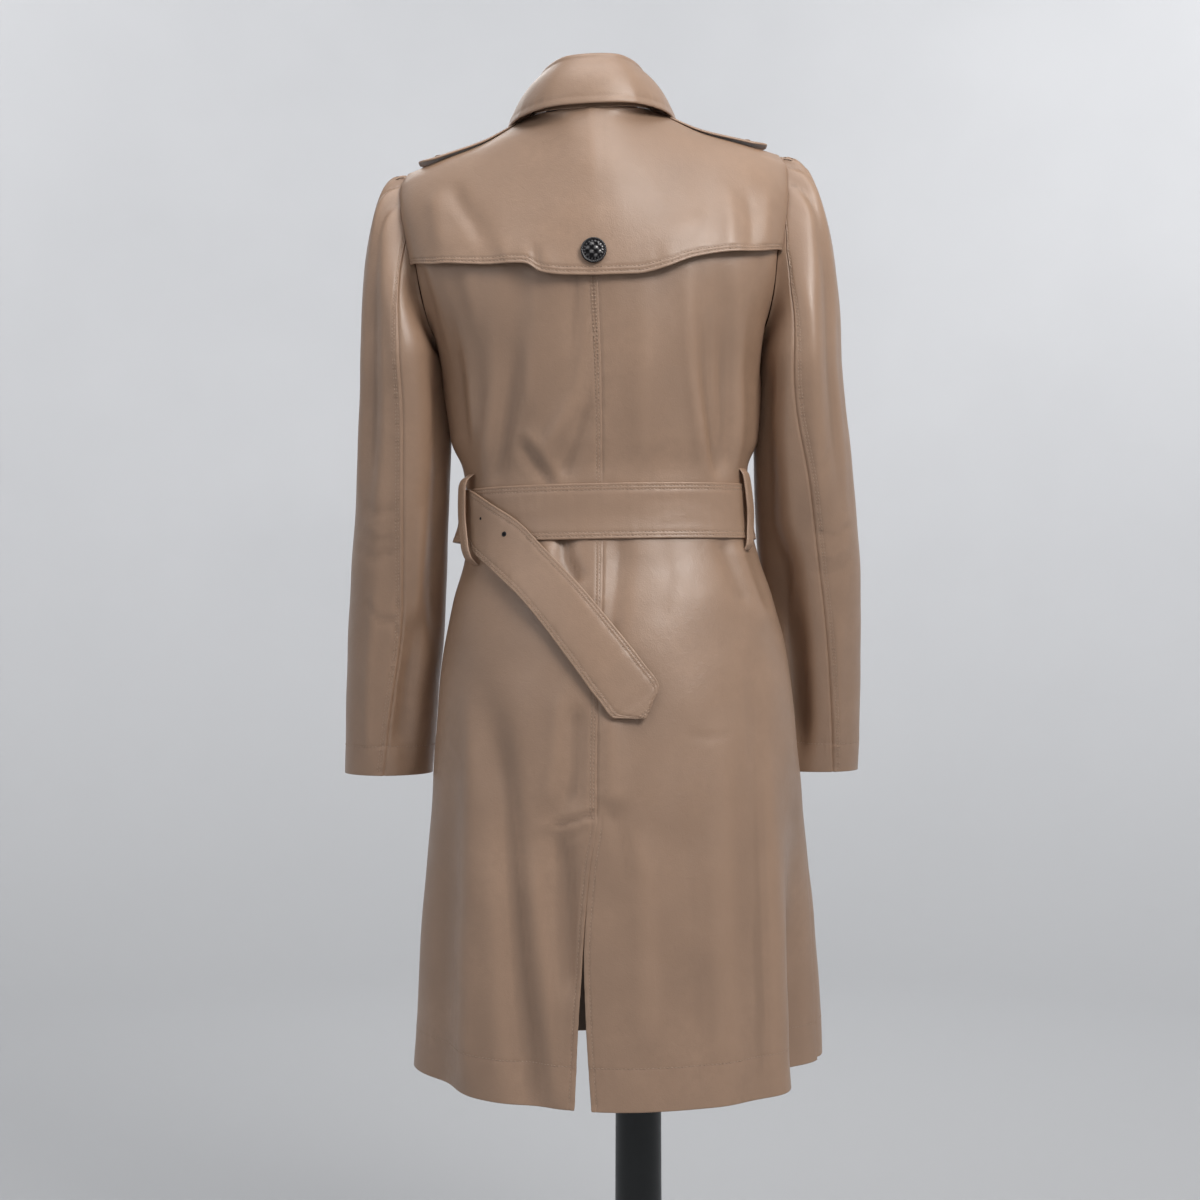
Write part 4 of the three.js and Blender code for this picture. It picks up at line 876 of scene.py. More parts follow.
def front_surface(side, own, height, lift):
    """The body's front, lowered to the roll line near the neck, with creases, channels and dip."""
    own, height = np.broadcast_arrays(np.asarray(own, float), np.asarray(height, float))
    level = np.minimum(height, UNDERARM_Z)
    is_yoke = height > UNDERARM_Z
    top_x = -power(sine(own - 180), UNDERARM_EXPONENT) * SHOULDER_HALF
    lowered = np.where(top_x < NECK_HALF - 0.01, (roll_z(top_x) - UNDERARM_Z) / (NECK_Z - UNDERARM_Z), 1)
    rise = np.clip(height - UNDERARM_Z, 0, 1) * lowered
    height = np.where(is_yoke, UNDERARM_Z + rise, level)
    half = np.where(is_yoke, SHOULDER_HALF, read(BODY, "half", level))
    width = power(sine(own), 2 / read(BODY, "square", level)) * half
    z = np.where(is_yoke, UNDERARM_Z + rise * (NECK_Z - UNDERARM_Z), level)
    turn = side * np.where(own > 180, own - 360, own)
    base = body_point(turn, height)
    free = pressed(base, level)
    out = crease(turn, base[..., 2], FRONT_CREASES) * read(CREASE_GAIN, "gain", base[..., 2])
    out = out + blouse(turn, base[..., 2])
    out = np.where(out > 0, out * free, out) + unevenness(base, 0.5) * free
    edge, scale = front_edge(height)
    away = (edge - own) * scale
    below_break = 1 - smooth(BREAK_Z - 12, BREAK_Z, z)
    rows = sum(groove(away - distance) for distance in FRONT_STITCHES)
    out = out + (rows + pucker(z * 0.8, away - 5, 6, 0.24)) * below_break
    above_hem = z - HEM_Z
    out = out + (groove(above_hem - HEM_STITCH, 0.22, 1.6)
                 + pucker(own * 2.6, above_hem - HEM_STITCH, 9, 0.2)) * (z < 500)
    dip = under_dip(width, z) if side > 0 else 0.0
    return body_offset(turn, height, out - dip + lift)


def front_panel(side):
    height = panel_rows()
    edge, scale = front_edge(height)
    own = columns_from(edge, scale, 90 + 0.09, 54, -1)
    level = np.repeat(height[:, None], own.shape[1], 1)
    return [ease_underarm(front_surface(side, own, level, lift), 180 - own, level) for lift in (0.0, -WALL)]


for side, hand in ((1, "left"), (-1, "right")):
    outer, inner = front_panel(side)
    piece = shell(f"front_{hand}_leather", outer, inner, [LEATHER, SHADE_DARK_LINING])
    face = lambda a, b, lift, side=side: front_surface(side, a, b, lift)
    height = np.arange(HEM_Z + 3, BREAK_Z - 4, 2.0)
    edge, scale = front_edge(height)
    rows = [stitch_path(face, edge - distance / scale, height) for distance in FRONT_STITCHES]
    rows.append(stitch_path(face, np.arange(91, edge[0] - 1, 0.5), HEM_Z + HEM_STITCH))
    thread = stitches(f"front_{hand}_stitches", rows, THREAD)
    cloth(piece, f"front_{hand}", 0.30, [thread])

# %% [markdown]
# ## The storm flap
# A second layer hangs loose from the shoulder seams over both backs. It stands off along its lower
# edge and throws the strongest shadow of the whole back, so its edge is full and wavy.

# %% Storm flap
FLAP_EDGE = table("x left right stand", [
    [0, 1220.5, 1220.5, 3], [14, 1221, 1220.5, 3], [39, 1222.5, 1220.6, 3.5], [55, 1225.5, 1223, 5.5],
    [69.5, 1234, 1226.7, 7.5], [91, 1235.8, 1234.7, 6.5], [105, 1236.6, 1238.2, 5], [123, 1238.5, 1240.9, 6],
    [144, 1241.7, 1242.7, 7], [160, 1244, 1244.6, 5], [183, 1252, 1251.5, 2]])
FLAP_CREASES = [
    (9, -3.0, [(193, 1330), (178, 1297), (161, 1272), (147, 1241)]),
    (10, 2.2, [(207, 1322), (201, 1280), (190, 1244)]),
    (6, 1.5, [(143, 1290), (134, 1253), (125, 1225)]),
    (3, -1.6, [(109, 1275), (103, 1246), (98, 1215)]),
    (7, 1.4, [(97, 1275), (85, 1215)]),
    (8, 2.0, [(-87, 1323), (-88, 1282), (-86, 1235)]),
    (6, -1.8, [(-106, 1320), (-109, 1280), (-104, 1235)]),
    (7, 1.8, [(-128, 1330), (-126, 1288), (-123, 1240)]),
    (10, -1.4, [(-48, 1352), (-59, 1310), (-65, 1255)]),
    (14, 1.6, [(58, 1420), (57, 1371), (54, 1308)]),
    (12, -1.0, [(92, 1380), (109, 1335), (121, 1280)]),
    (12, -1.0, [(4, 1380), (-15, 1329), (-26, 1270)]),
    (9, 1.3, [(-5, 1262), (-40, 1268), (-70, 1290)])]
FLAP_STITCHES = (2.6, 6.6)
FLAP_DROP = 165.0


def flap_surface(angle, share, lift):
    """From the flap's edge (share 0) to the shoulder seam (share 1), standing off most at the edge."""
    angle, share = np.broadcast_arrays(np.asarray(angle, float), np.asarray(share, float))
    width = np.abs(power(sine(angle), UNDERARM_EXPONENT))
    x = width * read(YOKE, "edge", 0.35)
    top_z = read(SHOULDER, "z", width * SHOULDER_HALF)
    edge_z = np.where(angle > 0, read(FLAP_EDGE, "left", x), read(FLAP_EDGE, "right", x))
    low = (edge_z - UNDERARM_Z) / (top_z - UNDERARM_Z)
    height = UNDERARM_Z + low + (1 - low) * share
    stand = read(FLAP_EDGE, "stand", x) * (1 - share) ** 3
    over_neck = 0.6 * (1 - smooth(NECK_HALF, NECK_HALF * 1.6, width * SHOULDER_HALF))
    at_armhole = 0.5 * smooth(75, 88, np.abs(angle))
    base = body_point(angle, height)
    near_top = 1 - smooth(0.8, 1, share)
    away = share * FLAP_DROP
    out = (crease(base[..., 0], base[..., 2], FLAP_CREASES, 0.3)
           * near_top * (1 - smooth(80, 88, np.abs(angle))))
    out = out + unevenness(base, 0.4) * near_top
    out = out + sum(groove(away - distance) for distance in FLAP_STITCHES)
    out = out + pucker(base[..., 0] * 0.9, away - 4, 5, 0.26)
    return body_offset(angle, height, LAYER + over_neck + at_armhole + stand + out + lift)


flap_shares = np.concatenate([CLOSE / FLAP_DROP, CLOSE[-1] / FLAP_DROP
                              + (1 - CLOSE[-1] / FLAP_DROP) * np.sin(np.radians(np.linspace(3, 90, 36)))])
flap_angles = np.concatenate([-np.linspace(88, 1, 62), [0], np.linspace(1, 88, 62)])
grid = np.meshgrid(flap_angles, flap_shares)
on_neck = np.abs(power(sine(grid[0]), UNDERARM_EXPONENT)) * SHOULDER_HALF - NECK_HALF
ease = np.exp(-((on_neck / 26) ** 2)) * smooth(0.1, 0.3, grid[1]) * (1 - smooth(0.93, 1, grid[1]))
piece = shell("storm_flap_leather", relax(flap_surface(*grid, 0.0), ease, 1),
              relax(flap_surface(*grid, -WALL), ease, 1),
              [LEATHER, SHADE_DARK_LINING])
path = np.linspace(-87.5, 87.5, 500)
rows = [stitch_path(flap_surface, path, distance / FLAP_DROP) for distance in FLAP_STITCHES]
thread = stitches("storm_flap_stitches", rows, THREAD)
cloth(piece, "storm_flap", 0.074, [thread])

# %% [markdown]
# ## Lapels
# A lapel is the front edge turned back. Its shell starts with a half-round roll over the front's
# edge, so the two read as one folded piece of leather.

# %% Lapels
LAPEL = table("share inX outX outZ", [
    [0.03, -84, -80, 1183], [0.3, -49, 20, 1213], [0.6, -10, 84, 1249], [0.85, 22, 128, 1289],
    [1, 37, 143, 1314]])
LAPEL_STITCHES = (0.04, 0.10)


def lapel_surface(side, across, up, lift):
    """Straight from the roll line to the outer edge, bowed, and clear of what lies under it."""
    in_x, out_x = read(LAPEL, "inX", up), read(LAPEL, "outX", up)
    x = in_x + (out_x - in_x) * across
    in_z = roll_z(in_x) + 1
    z = in_z + (read(LAPEL, "outZ", up) - in_z) * across
    dip = under_dip(x, z) if side > 0 else np.zeros(np.broadcast(x, z).shape)
    free = 1 - dip / UNDER_DIP
    bow = 2.5 * np.sin(np.pi * np.minimum(1, across * 1.2)) * up * free
    clear = (LAYER - WALL + 13 * free) * (1 - free)
    out = sum(groove((1 - across - share) * 90, 0.35, 1.2) for share in LAPEL_STITCHES)
    out = out + unevenness(np.stack(np.broadcast_arrays(x, x * 0, z), -1), 0.35) * across
    return on_front(side * x, z, LAYER + bow + clear - dip + out + lift)


ROLL_TURNS = np.radians([160, 130, 100, 70, 40, 15])


def lapel_grid(side):
    up = np.concatenate([np.linspace(0.03, 0.94, 56), [0.96, 0.975, 0.985, 0.993, 1]])
    across = np.concatenate([np.linspace(0, 0.82, 22),
                             1 - np.array([14, 11, 9, 7.5, 6, 4.8, 3.6, 2.4, 1.2, 0]) / 100])
    grid = np.meshgrid(across, up)
    outer, inner = lapel_surface(side, *grid, 0.0), lapel_surface(side, *grid, -WALL)
    towards = unit(outer[:, :1] - outer[:, 2:3])
    normal = unit(outer[:, :1] - inner[:, :1])
    radius = (LAYER + WALL) / 2
    centre = outer[:, :1] - normal * radius
    reach = np.minimum(1, (up - up[0]) / 0.06)[:, None, None] * 0.85 + 0.15
    roll = [centre + (normal * np.cos(t) + towards * np.sin(t) * reach) * radius for t in ROLL_TURNS]
    inner_roll = [centre + (normal * np.cos(t) + towards * np.sin(t) * reach) * (radius - WALL + 0.2)
                  for t in ROLL_TURNS]
    return np.concatenate(roll + [outer], 1), np.concatenate(inner_roll + [inner], 1)


for side, hand in ((1, "left"), (-1, "right")):
    outer, inner = lapel_grid(side)
    piece = shell(f"lapel_{hand}_leather", outer, inner, [LEATHER, LEATHER])
    face = lambda a, b, lift, side=side: lapel_surface(side, a, b, lift)
    rows = []
    for share in LAPEL_STITCHES:
        rows.append(stitch_path(face, np.full(200, 1 - share), np.linspace(0.06, 0.97 - share * 0.3, 200)))
    rows.append(stitch_path(face, np.linspace(0.1, 0.95, 120), np.full(120, 0.965)))
    thread = stitches(f"lapel_{hand}_stitches", rows, THREAD)
    cloth(piece, f"lapel_{hand}", 0.020, [thread])

# %% [markdown]
# ## The collar
# It stands up from the neck seam, rolls over a fold and falls back over the seam. A section is a
# straight stand, a round roll and a slightly bowed fall, and it is carried along the neckline.

# %% Collar
COLLAR = table("turn seamX seamY seamZ foldX foldY foldZ edgeX edgeY edgeZ spread", [
    [0, 0, 84, 1394.2, 0, 68, 1452, 0, 92.5, 1397, 90], [0.2, 30, 76, 1396, 24, 60, 1452, 40, 83, 1397.5, 66],
    [0.38, 54, 48, 1401, 43, 38, 1449, 72, 52, 1396.5, 36],
    [0.52, 62, 12, 1405, 51, 8, 1445, 86, 13, 1396, 2],
    [0.68, 62, -26, 1400, 54, -26, 1430, 96, -36, 1381, -22],
    [0.84, 55, -62, 1386, 49, -66, 1406, 104, -76, 1362, -40],
    [1, 45, -88, 1368, 42, -96, 1380, 112, -96, 1338, -52]])
COLLAR_ROLL = 4.5
STAND_ROWS = np.linspace(0, 0.22, 9)[:-1]
ROLL_ROWS = np.linspace(0.22, 0.42, 13)
FALL_ROWS = np.concatenate([np.linspace(0.42, 0.88, 18)[1:], [0.9, 0.92, 0.935, 0.95, 0.965, 0.98, 0.99, 1]])
COLLAR_CHANNEL = 0.945


def collar_surface(turn, section, offset):
    """section 0 to 0.22 is the stand, to 0.42 the roll, to 1 the fall; a negative turn is the right."""
    side = np.where(turn < 0, -1.0, 1.0)
    at = {name: read(COLLAR, name, np.abs(turn)) for name in COLLAR}
    spread = np.radians(at["spread"])
    zero = np.zeros_like(spread)
    out = np.stack([np.cos(spread), np.sin(spread), zero], -1)
    up = np.stack([zero, zero, zero + 1], -1)
    seam, fold, edge = (np.stack([at[k + "X"], at[k + "Y"], at[k + "Z"]], -1)
                        for k in ("seam", "fold", "edge"))
    channel = groove((section - COLLAR_CHANNEL) * 95, 0.3, 1.8)
    wave = (pucker(turn * 190, (section - 0.945) * 95, 6, 0.22)
            + unevenness(edge * np.array([1.2, 1.2, 0.4]), 0.35))
    moved = offset + np.where(section > 0.42, (channel + wave) * smooth(0.42, 0.6, section), 0)
    ring = (COLLAR_ROLL + offset)[..., None]
    low = seam - out * offset[..., None]
    inside = fold - out * ring - up * COLLAR_ROLL
    outside = fold + out * ring - up * COLLAR_ROLL
    stand = low + (inside - low) * (section / 0.22)[..., None]
    lean = ((section - 0.22) / 0.2 * math.pi - math.pi / 2)[..., None]
    roll = fold + out * ring * np.sin(lean) + up * (ring * np.cos(lean) - COLLAR_ROLL)
    share = np.clip((section - 0.42) / 0.58, 0, 1)
    bow = (3.5 * np.sin(np.pi * share) + moved - offset)[..., None]
    hem = edge + out * (offset * 0.8)[..., None] + up * (offset * 0.6)[..., None]
    fall = outside + (hem - outside) * share[..., None] + (out + up) * bow
    is_stand, is_roll = (section < 0.22)[..., None], (section <= 0.42)[..., None]
    point = np.where(is_stand, stand, np.where(is_roll, roll, fall))
    return place(side * point[..., 0], point[..., 1], point[..., 2])


collar_turns = np.concatenate([-np.array([1, 0.994, 0.985, 0.97, 0.955]), -np.linspace(0.94, 0.01, 62), [0.0],
                               np.linspace(0.01, 0.94, 62), np.array([0.955, 0.97, 0.985, 0.994, 1])])
grid = np.meshgrid(collar_turns, np.concatenate([STAND_ROWS, ROLL_ROWS, FALL_ROWS]))
half_wall = np.full_like(grid[0], WALL / 2)
ease = np.exp(-((grid[0] / 0.09) ** 2))
piece = shell("collar_leather", relax(collar_surface(*grid, half_wall), ease, 1),
              relax(collar_surface(*grid, -half_wall), ease, 1), [LEATHER, LEATHER])
cloth(piece, "collar", 0.041)

# %% [markdown]
# ## Sleeves
# A two-piece sleeve has a wide top part and a narrow under part, joined at the back and the front.
# The head has more cloth than the armhole and is gathered into it: a few small pleats that start at
# the seam and die out. The rest is a leaning tube with a bent elbow and long soft folds.

# %% Sleeve surfaces
ARMS_MIDDLE, CAP_Z, CUFF_Z, FRONT_SEAM = 38.0, 1148.0, 719.0, 245.0
SLEEVE = table("z outLeft inLeft yLeft outRight inRight yRight deep", [
    [719, 276, 182, -60, 281, 187, -100, 45], [800, 273, 175, -50, 281, 182, -85, 50],
    [903, 267, 165, -35, 278, 170, -60, 56], [1008, 258, 160, -16, 268, 161.5, -30, 62],
    [1090, 253, 157, -6, 257, 158, -12, 66], [1148, 250, 163, 0, 249, 163, -2, 70]])
# Above 1149 the level stands for the cap: 1150 is the armhole
BACK_SEAM = table("level left right", [
    [719, 90, 72], [774, 95, 75.5], [870, 104, 80], [938, 101, 85.5], [1026, 97, 92], [1100, 94.5, 103],
    [1149, 93.5, 107.5], [1149.475, 91.5, 107], [1149.6, 90, 105.5], [1149.775, 86, 97], [1149.85, 83.5, 92],
    [1149.95, 78, 79], [1150, 75.5, 74]])
SLEEVE_FOLDS = [(52, 13, -7, 1330, 1010), (118, 12, -5, 900, 730), (215, 16, -6, 1060, 900),
                (300, 15, -5, 1030, 860)]
# Paths on a sleeve are given by the turn round the arm in degrees and the level
SLEEVE_CREASES = {
    "left": [
        (20, -10, [(154, 1185), (154, 1040), (150, 830)]),
        (10, -2.6, [(68, 1240), (78, 1120), (83, 980), (88, 880)]),
        (8, 2.6, [(124, 1010), (121, 900), (112, 820)]), (10, -4.0, [(121, 900), (112, 820), (105, 735)]),
        (9, 2.4, [(72, 930), (66, 820), (70, 719)]), (10, 2.2, [(26, 1250), (30, 1120), (26, 980)]),
        (5, -1.1, [(38, 1004), (66, 992), (98, 996)]), (5, -1.0, [(30, 962), (64, 946), (96, 952)]),
        (3, 0.9, [(40, 984), (70, 972), (100, 975)]), (4, -1.2, [(50, 905), (80, 880), (104, 884)]),
        (2.5, -0.9, [(92, 905), (104, 880), (116, 864)]), (2.5, -0.9, [(88, 886), (102, 862), (114, 848)]),
        (9, -2.4, [(330, 1190), (335, 1060), (330, 930)]), (9, 2.4, [(310, 1150), (306, 1010), (312, 860)]),
        (6, -1.1, [(356, 972), (322, 940), (276, 950)]), (6, -1.0, [(352, 1012), (318, 984), (280, 999)])],
    "right": [
        (20, -11, [(154, 1185), (150, 1040), (146, 830)]), (9, 2.4, [(84, 1240), (78, 1120), (82, 960)]),
        (18, -13, [(132, 985), (126, 850), (124, 722)]), (9, 2.0, [(62, 900), (68, 780), (66, 719)]),
        (10, 2.0, [(112, 1150), (116, 1050), (112, 940)]), (10, -2.0, [(30, 1230), (26, 1100), (34, 960)]),
        (5, -1.0, [(34, 985), (62, 968), (94, 972)]), (5, -0.9, [(42, 942), (70, 930), (100, 934)]),
        (3, 0.8, [(38, 962), (68, 950), (98, 952)]), (3, -0.8, [(60, 1060), (76, 1040), (90, 1038)]),
        (9, -2.4, [(328, 1180), (333, 1060), (328, 930)]), (9, 2.4, [(308, 1150), (304, 1010), (310, 860)]),
        (6, -1.1, [(355, 962), (320, 930), (276, 941)]), (6, -1.0, [(350, 1004), (316, 975), (280, 991)])]}
# Pleats of the head: the turn, how wide, how deep and how far down the cap they reach
PLEATS = [(-34, 4, -2.2, 0.5), (-25, 4, 1.8, 0.42), (-13, 3.5, -2.4, 0.62), (-4, 4, 2.0, 0.5),
          (6, 3.5, -2.6, 0.66),
          (15, 4, 2.0, 0.52), (26, 4, -3.4, 0.8), (37, 4, 1.8, 0.5), (47, 3.5, -2.6, 0.6), (57, 4, 1.6, 0.5)]
GATHERS = 7
CUFF_STITCH = 30.0
SLEEVE_STITCHES = (5.0, 7.6)


def arm_point(side, turn, z):
    """An ellipse round the arm at each level, with the long folds added to both of its radii."""
    hand = "Left" if side > 0 else "Right"
    out, inside = read(SLEEVE, "out" + hand, z), read(SLEEVE, "in" + hand, z)
    fold = np.zeros(np.broadcast(turn, z).shape)
    for where, width, deep, high, low in SLEEVE_FOLDS:
        away = (turn - where + 540) % 360 - 180
        middle, reach = (high + low) / 2, (high - low) / 2
        fold = fold + deep * np.exp(-((away / width) ** 2) - ((z - middle) / reach) ** 4)
    x = (out + inside) / 2 + ((out - inside) / 2 + fold) * cosine(turn)
    y = read(SLEEVE, "y" + hand, z) + (read(SLEEVE, "deep", z) + fold) * sine(turn)
    return np.stack(np.broadcast_arrays(ARMS_MIDDLE + side * x, y, z), -1)


def cap_point(side, turn, share):
    """A cubic Bezier from the armhole, out and over, down to the arm, with gathers at the head."""
    turn = turn % 360
    rise = np.clip((1 + cosine(turn)) / 2, 0, 1)
    start = yoke_point(side * np.where(turn <= 180, 89.999, 90.001), rise) + np.array([side * 0.9, 0, 0])
    end = arm_point(side, turn, np.full_like(turn, CAP_Z))
    top = np.maximum(0, cosine(turn))
    leave = unit(np.stack([side * (0.9 + 0.1 * top), 0.42 * sine(turn), 0.87 * top - 0.65], -1))
    reach = np.linalg.norm(end - start, axis=-1)[..., None]
    first = start + leave * (4 + reach * 0.17)
    second = end + reach * np.array([0, 0, 0.55])
    t = np.asarray(share)[..., None]
    point = (start * (1 - t) ** 3 + first * 3 * t * (1 - t) ** 2
             + second * 3 * t * t * (1 - t) + end * t ** 3)
    away = np.where(turn > 180, turn - 360, turn)
    head = np.exp(-((away / 52) ** 2)) * np.sin(np.pi * np.minimum(1, share * 1.6)) ** 2
    gather = 2.2 * head + 1.2 * head * np.cos(away / 60 * np.pi * GATHERS * 0.5)
    for where, width, deep, length in PLEATS:
        gather = gather + (deep * np.exp(-(((away - where) / width) ** 2)) * smooth(0, 0.08, share)
                           * (1 - smooth(length * 0.3, length, share)))
    outward = unit(np.stack([side * (1 - 0.4 * top), 0.5 * sine(turn), top], -1))
    return point + outward * gather[..., None]


CAP_LENGTH = 200.0
EASE_STEPS = [(-24, 1), (-12, 4), (0, 6), (12, 4), (24, 1)]


def sleeve_point(side, turn, height):
    """Up to 1 the height is a share of the cap, above it a level in millimetres. Where the cap meets
    the arm, points above and below are averaged with the weights 1, 4, 6, 4, 1."""
    turn, height = np.broadcast_arrays(np.asarray(turn, float), np.asarray(height, float))
    above = np.where(height <= 1, (1 - height) * CAP_LENGTH, height - CAP_Z)
    reach = np.exp(-((above / 55) ** 2))
    total = 0
    for step, weight in EASE_STEPS:
        moved = above + step * reach
        cap = cap_point(side, turn, np.clip(1 - moved / CAP_LENGTH, 0, 1))
        arm = arm_point(side, turn, np.clip(CAP_Z + moved, CUFF_Z, CAP_Z))
        total = total + weight / 16 * np.where((moved >= 0)[..., None], cap, arm)
    return total


def seam_turn(side, height):
    return read(BACK_SEAM, "left" if side > 0 else "right", np.where(height > 1, height, 1150 - height))


def sleeve_surface(side, turn, height, lift):
    """The sleeve moved along its normal by creases, seam and cuff channels and unevenness."""
    turn, height = np.broadcast_arrays(np.asarray(turn, float), np.asarray(height, float))
    is_cap = height <= 1
    above = np.where(is_cap, np.maximum(0, height - 0.02), height + 3)
    below = np.where(is_cap, np.minimum(1, height + 0.02), height - 3)
    round_slope = sleeve_point(side, turn + 2, height) - sleeve_point(side, turn - 2, height)
    down = sleeve_point(side, turn, below) - sleeve_point(side, turn, above)
    normal = unit(np.cross(round_slope, down)) * -side
    base = sleeve_point(side, turn, height)
    scale = np.linalg.norm(round_slope, axis=-1) / 4
    around = turn % 360
    away = (seam_turn(side, height) - turn + 540) % 360 - 180
    out = crease(around, base[..., 2], SLEEVE_CREASES["left" if side > 0 else "right"])
    at_seam = np.where(is_cap, smooth(0, 0.06, height), 1)
    out = (out + unevenness(base, 0.5)) * at_seam
    seam = groove(away * scale, 1.1, 1.5) + pucker(base[..., 2], away * scale - 4, 6, 0.24)
    seam = seam + sum(groove(away * scale - row) for row in SLEEVE_STITCHES)
    cuff = base[..., 2] - CUFF_Z
    out = (out + seam * at_seam + groove(cuff - CUFF_STITCH, 0.22, 1.6)
           + pucker(around * 1.1, cuff - CUFF_STITCH, 8, 0.2))
    return base + normal * (out + lift)[..., None]


# %% Sleeve pieces
CAP_ROWS = np.concatenate([[0, 0.012, 0.03], np.linspace(0.06, 0.97, 30), [1]])
ARM_ROWS = np.concatenate([np.arange(1143, 757, -4.6),
                           [754, 751.5, 750, 749, 748, 746.5, 743, 738, 733, 729, 725.5, 722.5, 720.5, 719]])
SLEEVE_ROWS = np.concatenate([CAP_ROWS, ARM_ROWS])
SLEEVE_SEAM_TURN = 0.3


def sleeve_angles(side, is_top):
    """Close columns beside the back seam, then even ones to the front seam."""
    seam = seam_turn(side, SLEEVE_ROWS)
    scale = np.linalg.norm(sleeve_point(side, seam + 2, SLEEVE_ROWS)
                           - sleeve_point(side, seam - 2, SLEEVE_ROWS), axis=-1) / 4
    way = -1 if is_top else 1
    far = FRONT_SEAM - 360 + SLEEVE_SEAM_TURN if is_top else FRONT_SEAM - SLEEVE_SEAM_TURN
    return columns_from(seam + way * SLEEVE_SEAM_TURN, np.maximum(scale, 0.5), far, 46 if is_top else 30, way)


for side, hand in ((1, "left"), (-1, "right")):
    face = lambda a, b, lift, side=side: sleeve_surface(side, a, b, lift)
    for part in ("top", "under"):
        turns = sleeve_angles(side, part == "top")
        levels = np.repeat(SLEEVE_ROWS[:, None], turns.shape[1], 1)
        piece = shell(f"{part}_sleeve_{hand}_leather", face(turns, levels, 0.0), face(turns, levels, -WALL),
                      [LEATHER, SHADE_DARK_LINING])
        cuff = np.linspace(turns[-1].min() + 0.5, turns[-1].max() - 0.5, 160)
        rows = [stitch_path(face, cuff, CUFF_Z + CUFF_STITCH)]
        if part == "top":
            height = np.concatenate([np.linspace(0.03, 0.98, 60), np.arange(1146, CUFF_Z + 1, -2.5)])
            scale = np.linalg.norm(sleeve_point(side, seam_turn(side, height) + 2, height)
                                   - sleeve_point(side, seam_turn(side, height) - 2, height), axis=-1) / 4
            for k, distance in enumerate(SLEEVE_STITCHES):
                for run in (height <= 1, height > 1):
                    rows.append(stitch_path(face, (seam_turn(side, height) - distance / scale)[run],
                                            height[run]))
        thread = stitches(f"{part}_sleeve_{hand}_stitches", rows, THREAD)
        flat, area = ((0.24, 0.66), 0.108) if part == "top" else ((0.16, 0.56), 0.068)
        cloth(piece, f"{part}_sleeve_{hand}", area, [thread])

# %% [markdown]
# ## Epaulettes
# A strap of doubled leather lies over each shoulder seam, runs in under the collar, and ends in a
# free point that stands a little off the cloth near the armhole.

# %% Epaulettes
EPAULETTE = table("x half lift", [[78, 17, 4.2], [100, 18, 4.4], [130, 19, 4.8], [160, 19.5, 6],
                                  [172, 17, 7.4],
                                  [180, 7, 8.4]])
SHOULDER_DROP = 0.011
EPAULETTE_MARGIN = 3.0


def epaulette_surface(side, x, across, lift):
    """Over the shoulder line, half as wide as its table says, sagging by the square of the width."""
    half = read(EPAULETTE, "half", x)
    aside = half * across
    z = read(SHOULDER, "z", x) + read(EPAULETTE, "lift", x) - SHOULDER_DROP * aside * aside
    edge = half * (1 - np.abs(across))
    out = (groove(edge - EPAULETTE_MARGIN, 0.35, 1.0)
           + unevenness(np.stack(np.broadcast_arrays(x, aside, z), -1), 0.25))
    return place(side * x, read(SHOULDER, "y", x) + aside, z + WALL + out + lift)


for side, hand in ((1, "left"), (-1, "right")):
    x = np.concatenate([np.arange(78, 160, 2.2), np.arange(160, 172, 1.4), np.linspace(172, 180, 9)])
    across = np.concatenate([np.linspace(-1, -0.7, 9), np.linspace(-0.6, 0.6, 15), np.linspace(0.7, 1, 9)])
    grid = np.meshgrid(across, x)
    piece = shell(f"epaulette_{hand}_leather", epaulette_surface(side, grid[1], grid[0], 0.0),
                  epaulette_surface(side, grid[1], grid[0], -WALL), [LEATHER, LEATHER])
    run = np.linspace(80, 176, 120)
    rows = [stitch_path(lambda a, b, lift, side=side: epaulette_surface(side, a, b, lift), run,
                        way * (1 - EPAULETTE_MARGIN / read(EPAULETTE, "half", run))) for way in (-1, 1)]
    thread = stitches(f"epaulette_{hand}_stitches", rows, THREAD)
    cloth(piece, f"epaulette_{hand}", 0.0037, [thread])

# %% [markdown]
# ## Belt, its hanging end and the loops
# The belt is a long strip stitched along both edges. Under the buckle its end runs on round the left
# side, comes out of the loop and hangs across the back, where its own weight twists it off the coat.

# %% Belt
BUCKLE_ANGLE, BELT_END_TURN = 176.0, 0.4
BELT_ROWS = np.array([0, 0.5, 1, 1.6, 2.2, 2.8, 3.8, 5, 5.6, 6.2, 8, 11, 15, 20, 24])
BELT_HEIGHT = BELT_HIGH_Z - BELT_LOW_Z
BELT_STITCHES = (2.2, 5.6)
BELT_CREASES = [(3, 0.5, [(-12, 0.3), (-30, 0.42), (-52, 0.36)]),
                (3, -0.5, [(-8, 0.62), (-26, 0.7), (-44, 0.66)]),
                (3, 0.4, [(20, 0.6), (40, 0.5), (56, 0.58)]),
                (3, 0.5, [(110, 0.4), (132, 0.55), (150, 0.45)]),
                (3, -0.45, [(-100, 0.6), (-126, 0.5), (-150, 0.62)])]
STITCH_SHARES = ([row / BELT_HEIGHT for row in BELT_STITCHES]
                 + [1 - row / BELT_HEIGHT for row in BELT_STITCHES])


def wrap(angle):
    return (angle + 540) % 360 - 180


def belt_point(angle, share, out):
    return body_offset(wrap(angle), BELT_LOW_Z + BELT_HEIGHT * share, out)


